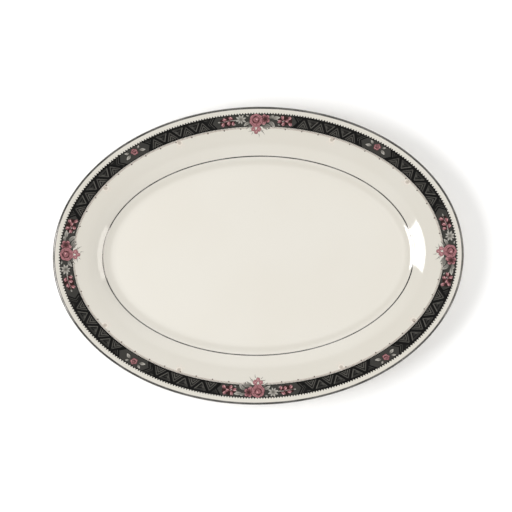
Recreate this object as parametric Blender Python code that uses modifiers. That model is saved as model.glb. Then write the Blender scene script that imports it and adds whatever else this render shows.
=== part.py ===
"""Oval serving platter of glazed china, with platinum lines and a border of fired transfers.

The frame's origin is the centre of the plane that the foot rests on, +X runs along the platter and +Z
is up. All sizes are in metres.

The glazed body is one closed solid. Each line and each transfer that is fired onto its glaze is a thin
plate in its own node, which follows the glaze at a small, even gap.

Two distances place everything:
- inset: how far in from the rim's outermost edge, seen from above. A ring at one inset is an ellipse
  whose half-axes are both shorter by it.
- along: how far round the middle of the border band, anticlockwise from +X, seen from above.
"""

import math

import bmesh
import bpy
import numpy as np

NAME = "china_serving_platter"

# The platter's outline.
LENGTH = 0.360
WIDTH = 0.261

# The body's section, from the rim inwards: a straight slope, a long convex shoulder that steepens to
# the wall's slope, a concave cove and the flat well.
LIP_THICKNESS = 0.0033
FLOOR_THICKNESS = 0.0044
RIM_RUN = 0.026
RIM_SLOPE = math.radians(17)
SHOULDER_RADIUS = 0.0615
WALL_SLOPE = math.radians(33)
COVE_RADIUS = 0.024

# The foot ring, under the cove. It starts FOOT_SETBACK inside the steepest point of the wall.
FOOT_HEIGHT = 0.003
FOOT_SETBACK = 0.0060
FOOT_TREAD = 0.0028
FOOT_FLARE = 0.0012
FOOT_EDGE = 0.0005

# The platinum lines. The rim line covers part of the lip's round edge, between two angles above the
# lip's outward level.
RIM_LINE_START = math.radians(33)
RIM_LINE_END = math.radians(80)
VERGE_LINE_WIDTH = 0.0010
VERGE_LINE_OFFSET = 0.0009

# The border band and the transfers laid end to end in it.
BAND_INSET = 0.0062
BAND_WIDTH = 0.0108
ROSE_PANEL_LENGTH = 0.0752
ROSE_TAB_WIDTH = 0.0240
ROSE_TAB_REACH = 0.0098
BUD_PANEL_LENGTH = 0.0306
PANEL_POINT = 0.0040
SPRIG_LENGTH = 0.0068
SPRIG_WIDTH = 0.0080
SPRIG_FROM_BUD = 0.0403
SPRIG_CLEAR_OF_BAND = 0.0010

# Clearances: a plate's gap to the glaze under it, and the seam between two transfers.
GLAZE_GAP = 0.0003
SEAM = 0.0005
PLATE_THICKNESS = 0.0004

# Each transfer is laid by hand, so its panel sits this far from its even place along the band. The
# panels stand an eighth of the band apart, in this order.
PANEL_SLIPS = {
    "right": 0.0036,
    "back_right": 0.0043,
    "back": 0.0012,
    "back_left": -0.0019,
    "left": -0.0017,
    "front_left": -0.0023,
    "front": -0.0011,
    "front_right": 0.0008,
}

# How finely the round stretches are divided.
SIDES = 96
LIP_STEPS = 8
LINE_STEPS = 4
SHOULDER_STEPS = 5
COVE_STEPS = 6
COLUMN = 0.0050


def arc(center, radius, start, end, steps):
    """The (inset, height) points of an arc, both ends included, with angles from the inset axis."""
    angles = np.linspace(start, end, steps + 1)
    return [(center[0] + radius * math.cos(a), center[1] + radius * math.sin(a)) for a in angles]


def glaze_line():
    """The body's upper face, from the end of the lip inwards, as (inset, height, slope) triples."""
    lip = LIP_THICKNESS / 2
    rim_start = lip * (1 + math.sin(RIM_SLOPE))
    shoulder_run = SHOULDER_RADIUS * (math.sin(WALL_SLOPE) - math.sin(RIM_SLOPE))
    shoulder_drop = SHOULDER_RADIUS * (math.cos(RIM_SLOPE) - math.cos(WALL_SLOPE))
    floor = FOOT_HEIGHT + FLOOR_THICKNESS
    cove_head = floor + COVE_RADIUS * (1 - math.cos(WALL_SLOPE))
    rim_foot = cove_head + shoulder_drop
    rim_head = rim_foot + (RIM_RUN - rim_start) * math.tan(RIM_SLOPE)
    cove_inset = RIM_RUN + shoulder_run

    line = [(rim_start, rim_head, RIM_SLOPE)]
    for slope in np.linspace(RIM_SLOPE, WALL_SLOPE, SHOULDER_STEPS + 1)[:-1]:
        inset = RIM_RUN + SHOULDER_RADIUS * (math.sin(slope) - math.sin(RIM_SLOPE))
        height = rim_foot - SHOULDER_RADIUS * (math.cos(RIM_SLOPE) - math.cos(slope))
        line.append((inset, height, slope))
    for slope in np.linspace(WALL_SLOPE, 0, COVE_STEPS + 1):
        inset = cove_inset + COVE_RADIUS * (math.sin(WALL_SLOPE) - math.sin(slope))
        line.append((inset, floor + COVE_RADIUS * (1 - math.cos(slope)), slope))
    return line


GLAZE = glaze_line()
COVE_INSET = GLAZE[-COVE_STEPS - 1][0]
LIP_CENTER = (
    LIP_THICKNESS / 2,
    GLAZE[0][1] - LIP_THICKNESS / 2 * math.cos(RIM_SLOPE),
)
BAND_INNER = BAND_INSET + BAND_WIDTH
BAND_MIDDLE = BAND_INSET + BAND_WIDTH / 2


def glaze_point(inset, lift):
    """The (inset, height) of a point that stands off the upper face by lift, square to it."""
    insets, heights, slopes = zip(*GLAZE)
    slope = np.interp(inset, insets, slopes)
    height = np.interp(inset, insets, heights)
    return inset + lift * math.sin(slope), height + lift * math.cos(slope)


def underside():
    """The body's lower face, from the lip in to the foot, as (inset, height) points.

    It lies under the upper face by a thickness that grows evenly from the lip to the foot.
    """
    foot = COVE_INSET + FOOT_SETBACK
    points = []
    for inset, height, slope in GLAZE:
        thickness = np.interp(inset, [GLAZE[0][0], foot], [LIP_THICKNESS, FLOOR_THICKNESS])
        under = inset - thickness * math.sin(slope)
        if under < foot - FOOT_FLARE:
            points.append((under, height - thickness * math.cos(slope)))
    return points


def foot_ring():
    """The foot's own outline, from its outer face round the flat tread to the recessed base."""
    outer = COVE_INSET + FOOT_SETBACK
    tread_start = outer + FOOT_FLARE
    tread_end = tread_start + FOOT_TREAD
    return [
        (outer, FOOT_HEIGHT),
        (tread_start - FOOT_EDGE, FOOT_EDGE),
        (tread_start, 0),
        (tread_end, 0),
        (tread_end + FOOT_EDGE, FOOT_EDGE),
        (tread_end + FOOT_FLARE, FOOT_HEIGHT - FOOT_EDGE),
        (tread_end + FOOT_FLARE + FOOT_EDGE, FOOT_HEIGHT),
    ]


def ellipse_point(inset, height, turn):
    """The point at an ellipse's own angle, turn, on the ring at this inset and height."""
    across = LENGTH / 2 - inset
    deep = WIDTH / 2 - inset
    return (across * math.cos(turn), deep * math.sin(turn), height)


class Band:
    """The middle line of the border band, which turns a distance along it into an angle."""

    def __init__(self, samples=4096):
        self.turns = np.linspace(0, 2 * math.pi, samples + 1)
        x = (LENGTH / 2 - BAND_MIDDLE) * np.cos(self.turns)
        y = (WIDTH / 2 - BAND_MIDDLE) * np.sin(self.turns)
        steps = np.hypot(np.diff(x), np.diff(y))
        self.lengths = np.concatenate([[0], np.cumsum(steps)])
        self.length = self.lengths[-1]

    def turn(self, along):
        """The ellipse's own angle at a distance along the band."""
        return np.interp(along % self.length, self.lengths, self.turns)


def material(name, color, roughness, metallic=0.0):
    """A new material with one Principled shader."""
    made = bpy.data.materials.new(name)
    made.use_nodes = True
    shader = made.node_tree.nodes["Principled BSDF"]
    shader.inputs["Base Color"].default_value = (*color, 1)
    shader.inputs["Roughness"].default_value = roughness
    shader.inputs["Metallic"].default_value = metallic
    made.diffuse_color = (*color, 1)
    return made


def new_object(name, mesh_data, collection, look):
    """A mesh object that is shaded smooth, with an edge kept wherever its faces turn sharply."""
    mesh_data.materials.append(look)
    mesh_data.shade_smooth()
    mesh_data.set_sharp_from_angle(angle=math.radians(40))
    made = bpy.data.objects.new(name, mesh_data)
    collection.objects.link(made)
    return made


def closed_loft(name, outline):
    """A solid between rings of equal point count, closed by a flat face inside the first and last."""
    shape = bmesh.new()
    rings = []
    for inset, height in outline:
        turns = [2 * math.pi * side / SIDES for side in range(SIDES)]
        rings.append([shape.verts.new(ellipse_point(inset, height, turn)) for turn in turns])
    for lower, upper in zip(rings, rings[1:]):
        for side in range(SIDES):
            after = (side + 1) % SIDES
            shape.faces.new((lower[side], lower[after], upper[after], upper[side]))
    shape.faces.new(reversed(rings[0]))
    shape.faces.new(rings[-1])
    bmesh.ops.recalc_face_normals(shape, faces=shape.faces)
    made = bpy.data.meshes.new(name)
    shape.to_mesh(made)
    shape.free()
    return made


def open_sheet(name, columns, joined=False):
    """An open sheet from columns of points, each running inwards, set out anticlockwise."""
    shape = bmesh.new()
    lines = [[shape.verts.new(point) for point in column] for column in columns]
    pairs = list(zip(lines, lines[1:]))
    if joined:
        pairs.append((lines[-1], lines[0]))
    for first, second in pairs:
        for row in range(len(first) - 1):
            shape.faces.new((first[row], second[row], second[row + 1], first[row + 1]))
    made = bpy.data.meshes.new(name)
    shape.to_mesh(made)
    shape.free()
    return made


def thicken(plate):
    """Gives an open sheet the thickness of a plate, away from the glaze."""
    solidify = plate.modifiers.new("thickness", "SOLIDIFY")
    solidify.thickness = PLATE_THICKNESS
    solidify.offset = 1
    solidify.use_even_offset = True


def build_body(collection, look):
    """The glazed china body: lip, rim, shoulder, cove, well and foot ring in one solid."""
    lip = arc(
        LIP_CENTER,
        LIP_THICKNESS / 2,
        math.radians(270) - RIM_SLOPE,
        math.radians(90) - RIM_SLOPE,
        LIP_STEPS,
    )
    below = foot_ring()[::-1] + underside()[:0:-1]
    above = [(inset, height) for inset, height, _ in GLAZE[1:]]
    return new_object("china_body", closed_loft("china_body", below + lip + above), collection, look)


def ring_plate(name, section, collection, look):
    """A plate that runs all the way round the platter, from its (inset, height) section."""
    columns = []
    for side in range(SIDES):
        turn = 2 * math.pi * side / SIDES
        columns.append([ellipse_point(inset, height, turn) for inset, height in section])
    thicken(new_object(name, open_sheet(name, columns, joined=True), collection, look))


def build_lines(collection, look):
    """The platinum lines around the lip and around the top of the well."""
    lip = arc(
        LIP_CENTER,
        LIP_THICKNESS / 2 + GLAZE_GAP,
        math.pi - RIM_LINE_START,
        math.pi - RIM_LINE_END,
        LINE_STEPS,
    )
    ring_plate("rim_line", lip, collection, look)
    start = COVE_INSET + VERGE_LINE_OFFSET - VERGE_LINE_WIDTH / 2
    verge = [glaze_point(start + VERGE_LINE_WIDTH * part, GLAZE_GAP) for part in (0, 1)]
    ring_plate("verge_line", verge, collection, look)


def transfer_plate(name, band, ends, collection, look, reach=None):
    """A transfer in the band. Its first and last columns are pointed like the panels' ends.

    ends holds the (edge, middle) distances along the band of its first and of its last column, and
    reach, where given, how far its inner edge stands in from the band at a distance along it.
    """
    (first_edge, first_middle), (last_edge, last_middle) = ends
    count = max(2, math.ceil((last_edge - first_edge) / COLUMN))
    columns = []
    for part in np.linspace(0, 1, count + 1):
        edge = first_edge + part * (last_edge - first_edge)
        middle = first_middle + part * (last_middle - first_middle)
        inner = BAND_INNER + (reach(edge) if reach else 0)
        column = []
        for inset, along in ((BAND_INSET, edge), (BAND_MIDDLE, middle), (inner, edge)):
            lifted_inset, height = glaze_point(inset, GLAZE_GAP)
            column.append(ellipse_point(lifted_inset, height, band.turn(along)))
        columns.append(column)
    thicken(new_object(name, open_sheet(name, columns), collection, look))


def on_diagonal(where):
    """Whether a panel stands between two axes, where the small roses are."""
    return "_" in where


def piece_name(kind, rose, bud):
    """The name of a piece between a rose panel and a bud panel, such as border_right_back."""
    side = [word for word in bud.split("_") if word != rose][0]
    return f"{kind}_{rose}_{side}"


def build_panels(places, band, collection, look):
    """The dark panels: rose sprays at the ends of both axes, small roses on the diagonals."""
    for where, (center, length) in places.items():
        edge = length / 2 - PANEL_POINT
        ends = ((center - edge, center - length / 2), (center + edge, center + length / 2))
        if on_diagonal(where):
            transfer_plate(f"bud_panel_{where}", band, ends, collection, look)
            continue

        def reach(along, middle=center):
            """How far in from the band the spray's lower flowers stand, as a rounded tab."""
            part = min(1.0, abs(along - middle) / (ROSE_TAB_WIDTH / 2))
            return ROSE_TAB_REACH * (1 + math.cos(math.pi * part**2)) / 2

        transfer_plate(f"rose_panel_{where}", band, ends, collection, look, reach)


def build_borders(places, band, collection, look):
    """The zigzag lengths, each of which fills the band between two panels with a seam at both ends."""
    names = list(places)
    for index, where in enumerate(names):
        center, length = places[where]
        after = names[(index + 1) % len(names)]
        next_center, next_length = places[after]
        if next_center < center:
            next_center += band.length
        first = center + length / 2 + SEAM
        last = next_center - next_length / 2 - SEAM
        ends = ((first - PANEL_POINT, first), (last + PANEL_POINT, last))
        rose, bud = (after, where) if on_diagonal(where) else (where, after)
        transfer_plate(piece_name("border", rose, bud), band, ends, collection, look)


def sprig_sheet(name, band, along, inset):
    """An oval sheet on the rim around one point, as a fan of triangles."""
    corners = 12
    shape = bmesh.new()

    def vertex(side_step, in_step):
        lifted_inset, height = glaze_point(inset + in_step, GLAZE_GAP)
        return shape.verts.new(ellipse_point(lifted_inset, height, band.turn(along + side_step)))

    middle = vertex(0, 0)
    edge = []
    for corner in range(corners):
        angle = 2 * math.pi * corner / corners
        step = (SPRIG_WIDTH / 2 * math.cos(angle), SPRIG_LENGTH / 2 * math.sin(angle))
        edge.append(vertex(*step))
    for first, second in zip(edge, edge[1:] + edge[:1]):
        shape.faces.new((middle, first, second))
    made = bpy.data.meshes.new(name)
    shape.to_mesh(made)
    shape.free()
    return made


def build_sprigs(places, band, collection, look):
    """The pale sprigs on the bare rim, one on each side of every small rose panel."""
    inset = BAND_INNER + SPRIG_CLEAR_OF_BAND + SPRIG_LENGTH / 2
    names = list(places)
    for index, bud in enumerate(names):
        if not on_diagonal(bud):
            continue
        before = names[index - 1]
        after = names[(index + 1) % len(names)]
        for rose, direction in ((before, -1), (after, 1)):
            name = piece_name("sprig", rose, bud)
            along = places[bud][0] + direction * SPRIG_FROM_BUD
            thicken(new_object(name, sprig_sheet(name, band, along, inset), collection, look))


def panel_places(band):
    """Each panel's middle along the band and its length, by where it sits."""
    places = {}
    for index, (where, slip) in enumerate(PANEL_SLIPS.items()):
        length = BUD_PANEL_LENGTH if on_diagonal(where) else ROSE_PANEL_LENGTH
        places[where] = (band.length * index / len(PANEL_SLIPS) + slip, length)
    return places


def main():
    for leftover in list(bpy.data.objects):
        bpy.data.objects.remove(leftover, do_unlink=True)
    collection = bpy.data.collections.new(NAME)
    bpy.context.scene.collection.children.link(collection)

    china = material("glazed_china", (0.80, 0.76, 0.67), 0.10)
    platinum = material("platinum_lustre", (0.42, 0.41, 0.39), 0.18, metallic=1.0)
    border = material("border_transfer", (0.028, 0.027, 0.025), 0.20)
    floral = material("floral_transfer", (0.16, 0.06, 0.065), 0.20)
    pale = material("sprig_transfer", (0.58, 0.53, 0.49), 0.20)

    band = Band()
    places = panel_places(band)
    build_body(collection, china)
    build_lines(collection, platinum)
    build_panels(places, band, collection, floral)
    build_borders(places, band, collection, border)
    build_sprigs(places, band, collection, pale)


main()
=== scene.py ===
"""Looks of an oval serving platter: glazed ivory china, platinum lines and a printed floral border.

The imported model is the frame, and every piece here is set out from it. Sizes are in metres. What is
printed on the rim is drawn flat first, on a sheet with three directions, and a Geometry Nodes tree
then lays the sheet on the sloping rim:
- X runs clockwise, seen from above, along the border band's middle, from the platter's right end;
- Y is minus the inset, the distance in from the rim's outermost edge, so that outwards is up;
- Z is the lift off the glaze.
"""

import logging
import math
from collections.abc import Iterable, Sequence
from dataclasses import dataclass, field
from enum import Enum

import bpy
import numpy as np
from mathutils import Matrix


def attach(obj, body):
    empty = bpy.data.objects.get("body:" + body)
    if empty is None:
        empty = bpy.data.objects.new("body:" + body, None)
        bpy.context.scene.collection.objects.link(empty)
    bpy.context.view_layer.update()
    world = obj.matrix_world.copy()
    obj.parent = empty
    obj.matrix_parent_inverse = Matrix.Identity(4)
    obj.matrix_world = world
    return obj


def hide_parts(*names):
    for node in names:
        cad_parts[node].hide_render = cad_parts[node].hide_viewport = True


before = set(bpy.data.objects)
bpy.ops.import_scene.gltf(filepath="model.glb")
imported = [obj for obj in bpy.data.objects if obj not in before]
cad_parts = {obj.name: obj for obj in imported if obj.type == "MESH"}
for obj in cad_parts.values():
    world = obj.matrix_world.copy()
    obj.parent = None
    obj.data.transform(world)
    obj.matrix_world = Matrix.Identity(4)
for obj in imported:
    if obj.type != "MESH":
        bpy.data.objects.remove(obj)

LOG = logging.getLogger("platter")
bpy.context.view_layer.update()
MM = 0.001
OVAL_POINTS = 2880  # the points of the oval that the print is laid along
WELD = 1e-6  # the distance within which a swept mesh's points are joined
PETAL_SWING = 0.6  # how far a petal turns with its unevenness

Color = tuple[float, float, float]
Point = tuple[float, float]
Socket = bpy.types.NodeSocket
Node = bpy.types.Node
Mesh = bpy.types.Mesh
Material = bpy.types.Material


class Slot(Enum):
    """The record's material slots."""

    CHINA = "glazed_china"
    PLATINUM = "platinum_lustre"
    BORDER = "border_transfer"
    FLORAL = "floral_transfer"
    SPRIG = "sprig_transfer"


class Motif(Enum):
    """The flowers and leaves that sprays are laid out from, by their place in the motif sheet."""

    ROSE = 0
    SIDE_BLOOM = 1
    SMALL_BLOOM = 2
    BUD = 3
    PETAL = 4
    SMALL_ROSE = 5
    DAISY = 6
    LEAF = 7
    ROUND_LEAF = 8
    FROND = 9


# Node trees.


class NodeSheet:
    """A node tree while it is being wired, with short ways to add nodes and join them."""

    def __init__(self, tree: bpy.types.NodeTree) -> None:
        """Keeps the tree to work on."""
        self.tree = tree

    def node(self, kind: str, settings: dict | None = None, **inputs: object) -> Node:
        """Adds a node.

        Args:
            kind: the node's type.
            settings: its properties, by name.
            **inputs: values or output sockets for its inputs, by name with _ for a space.

        Returns:
            The new node.
        """
        made = self.tree.nodes.new(kind)
        for name, value in (settings or {}).items():
            setattr(made, name, value)
        for name, value in inputs.items():
            self.feed(self.socket(made.inputs, name.replace("_", " ")), value)
        return made

    @staticmethod
    def socket(sockets: Iterable[Socket], name: str) -> Socket:
        """The socket in use that has this name."""
        return next(s for s in sockets if s.name == name and s.enabled)

    def feed(self, socket: Socket, value: object) -> None:
        """Sets an input socket to a value, or joins it to an output socket."""
        if isinstance(value, Socket):
            self.tree.links.new(value, socket)
        else:
            socket.default_value = value

    def math(self, operation: str, *values: object, clamp: bool = False) -> Socket:
        """The result of one sum, as an output socket."""
        made = self.node("ShaderNodeMath", {"operation": operation, "use_clamp": clamp})
        for socket, value in zip(made.inputs, values):
            self.feed(socket, value)
        return made.outputs[0]

    def split(self, vector: Socket) -> tuple[Socket, ...]:
        """A vector's three parts."""
        return tuple(self.node("ShaderNodeSeparateXYZ", Vector=vector).outputs)

    def join(self, x: object, y: object, z: object) -> Socket:
        """A vector from three parts."""
        return self.node("ShaderNodeCombineXYZ", X=x, Y=y, Z=z).outputs[0]


class GeometryTree(NodeSheet):
    """A geometry node tree with named inputs, which runs on a mesh and gives back a plain mesh."""

    def __init__(self, name: str, **inputs: str) -> None:
        """Makes the tree.

        Args:
            name: the tree's name.
            **inputs: the names of its own inputs with commas between, by their socket type.
        """
        super().__init__(bpy.data.node_groups.new(name, "GeometryNodeTree"))
        interface = self.tree.interface
        interface.new_socket("Geometry", in_out="OUTPUT", socket_type="NodeSocketGeometry")
        for kind, labels in ({"Geometry": "Geometry"} | inputs | {"Material": "Material"}).items():
            for label in labels.split(", "):
                interface.new_socket(label, in_out="INPUT", socket_type=f"NodeSocket{kind}")
        self.given = self.tree.nodes.new("NodeGroupInput").outputs
        self.result = self.tree.nodes.new("NodeGroupOutput").inputs[0]

    def close(self, geometry: Socket) -> None:
        """Ends the tree, with its instances realised and its material set."""
        real = self.node("GeometryNodeRealizeInstances", Geometry=geometry)
        ink = self.given["Material"]
        dressed = self.node("GeometryNodeSetMaterial", Geometry=real.outputs[0], Material=ink)
        self.tree.links.new(dressed.outputs[0], self.result)

    def close_with(self, more: Socket) -> None:
        """Ends the tree with the mesh that it was given and then something more."""
        both = self.node("GeometryNodeJoinGeometry")
        for part in (self.given["Geometry"], more):
            self.tree.links.new(part, both.inputs[0])
        self.close(both.outputs[0])

    def run(self, start: Mesh, **values: object) -> Mesh:
        """Runs the tree once.

        Args:
            start: the mesh that the tree is given.
            **values: each input's value, by its name with _ for a space.

        Returns:
            The result as a plain mesh.
        """
        carrier = bpy.data.objects.new("carrier", start)
        bpy.context.scene.collection.objects.link(carrier)
        modifier = carrier.modifiers.new("tree", "NODES")
        modifier.node_group = self.tree
        for item in self.tree.interface.items_tree:
            name = item.name.replace(" ", "_")
            if item.in_out == "INPUT" and name in values:
                modifier[item.identifier] = values[name]
        graph = bpy.context.evaluated_depsgraph_get()
        shown = carrier.evaluated_get(graph)
        made = bpy.data.meshes.new_from_object(
            shown, preserve_all_data_layers=True, depsgraph=graph
        )
        carrier.modifiers.clear()
        bpy.data.objects.remove(carrier)
        return made


# The platter's shape.


@dataclass(frozen=True)
class Section:
    """The platter's section, from the rim's outermost edge inwards, with the CAD part's sizes."""

    half_length: float = 180 * MM
    half_width: float = 130.5 * MM
    lip_thickness: float = 3.3 * MM
    floor_thickness: float = 4.4 * MM
    rim_run: float = 26 * MM
    rim_slope: float = math.radians(17)
    shoulder_radius: float = 61.5 * MM
    wall_slope: float = math.radians(33)
    cove_radius: float = 24 * MM
    foot_height: float = 3 * MM
    foot_setback: float = 6 * MM
    foot_tread: float = 2.8 * MM
    foot_flare: float = 1.2 * MM
    foot_round: float = 0.7 * MM
    arc_steps: int = 20
    flat_rings: int = 8

    @property
    def cove_inset(self) -> float:
        """Where the wall is steepest, between the shoulder and the cove."""
        turned = math.sin(self.wall_slope) - math.sin(self.rim_slope)
        return self.rim_run + self.shoulder_radius * turned

    @property
    def rim_height(self) -> float:
        """The height that the straight rim's line would have at the outermost edge."""
        cove = self.cove_radius * (1 - math.cos(self.wall_slope))
        shoulder = self.shoulder_radius * (math.cos(self.rim_slope) - math.cos(self.wall_slope))
        rim = self.rim_run * math.tan(self.rim_slope)
        return self.foot_height + self.floor_thickness + cove + shoulder + rim

    @property
    def rim_start(self) -> float:
        """Where the lip's round edge ends and the straight rim starts."""
        return self.lip_thickness / 2 * (1 + math.sin(self.rim_slope))

    def glaze(self) -> list[tuple[float, float, float]]:
        """The upper face, from the lip to the well's floor, as (inset, height, slope)."""
        line = []
        for inset in np.linspace(self.rim_start, self.rim_run, self.arc_steps // 2)[:-1]:
            line.append((inset, self.rim_height - inset * math.tan(self.rim_slope), self.rim_slope))
        rim_foot = self.rim_height - self.rim_run * math.tan(self.rim_slope)
        for slope in np.linspace(self.rim_slope, self.wall_slope, self.arc_steps)[:-1]:
            turned = math.sin(slope) - math.sin(self.rim_slope)
            inset = self.rim_run + self.shoulder_radius * turned
            drop = self.shoulder_radius * (math.cos(self.rim_slope) - math.cos(slope))
            line.append((inset, rim_foot - drop, slope))
        floor = self.foot_height + self.floor_thickness
        for slope in np.linspace(self.wall_slope, 0, self.arc_steps):
            turned = math.sin(self.wall_slope) - math.sin(slope)
            inset = self.cove_inset + self.cove_radius * turned
            line.append((inset, floor + self.cove_radius * (1 - math.cos(slope)), slope))
        return line

    def lifted(self, inset: float, lift: float) -> Point:
        """The (inset, height) of a point that stands off the upper face, square to it."""
        insets, heights, slopes = zip(*self.glaze())
        slope = np.interp(inset, insets, slopes)
        height = np.interp(inset, insets, heights)
        return inset + lift * math.sin(slope), height + lift * math.cos(slope)

    def lip(self, start: float, end: float, steps: int) -> list[Point]:
        """Points round the lip's edge, between two angles above its outward level."""
        return [self.lip_point(angle, 0) for angle in np.linspace(start, end, steps)]

    def lip_point(self, angle: float, lift: float) -> Point:
        """A point of the lip's round edge, lifted off it."""
        radius = self.lip_thickness / 2
        top = self.rim_height - self.rim_start * math.tan(self.rim_slope)
        middle = top - radius * math.cos(self.rim_slope)
        reach = radius + lift
        return radius - reach * math.cos(angle), middle + reach * math.sin(angle)

    def underside(self) -> list[Point]:
        """The lower face from the lip to the foot."""
        foot = self.cove_inset + self.foot_setback
        span = [self.rim_start, foot]
        points = []
        for inset, height, slope in self.glaze():
            thickness = np.interp(inset, span, [self.lip_thickness, self.floor_thickness])
            under = inset - thickness * math.sin(slope)
            if under < foot - 2 * self.foot_flare:
                points.append((under, height - thickness * math.cos(slope)))
        return points

    def foot(self) -> list[Point]:
        """The foot ring from the underside round the tread to the recessed base, edges rounded."""
        outer = self.cove_inset + self.foot_setback
        tread = outer + self.foot_flare
        inner = tread + self.foot_tread
        base = inner + self.foot_flare
        corners = [
            (outer - self.foot_flare, self.foot_height + self.foot_round),
            (outer, self.foot_height),
            (tread, 0.0),
            (inner, 0.0),
            (base, self.foot_height),
            (base + 2 * self.foot_flare, self.foot_height),
        ]
        return rounded(corners, self.foot_round)

    def outline(self) -> list[tuple[float, float, float]]:
        """The whole section as (inset, shrink, height), from the base's middle to the well's.

        Shrink is 1 on a ring at its own inset. Over the flat base and the flat floor it runs down
        to 0, which draws the rings in to the middle.
        """
        lip = self.lip(self.rim_slope - math.pi / 2, self.rim_slope + math.pi / 2, self.arc_steps)
        below = self.foot()[::-1] + self.underside()[:0:-1]
        above = [(inset, height) for inset, height, _ in self.glaze()[1:]]
        rings = [(inset, 1.0, height) for inset, height in below + lip + above]
        shares = np.linspace(0, 1, self.flat_rings + 1)[:-1]
        base = [(rings[0][0], share, rings[0][2]) for share in shares]
        floor = [(rings[-1][0], share, rings[-1][2]) for share in shares[::-1]]
        return base + rings + floor


def rounded(corners: Sequence[Point], radius: float, steps: int = 5) -> list[Point]:
    """A line whose inner corners are rounded.

    Args:
        corners: the line's corners.
        radius: how far from each corner its curve starts.
        steps: the points in each curve.

    Returns:
        The points of the rounded line.
    """
    points = [corners[0]]
    for before, corner, after in zip(corners, corners[1:], corners[2:]):
        here = np.array(corner)
        start = here + (np.array(before) - here) * min(0.45, radius / math.dist(before, corner))
        end = here + (np.array(after) - here) * min(0.45, radius / math.dist(after, corner))
        for t in np.linspace(0, 1, steps):
            points.append(tuple((1 - t) ** 2 * start + 2 * t * (1 - t) * here + t**2 * end))
    return points + [corners[-1]]


def line_mesh(points: Sequence[Sequence[float]]) -> Mesh:
    """A mesh of loose points only, in order."""
    made = bpy.data.meshes.new("points")
    made.from_pydata([tuple(float(part) for part in point) for point in points], [], [])
    return made


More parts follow.
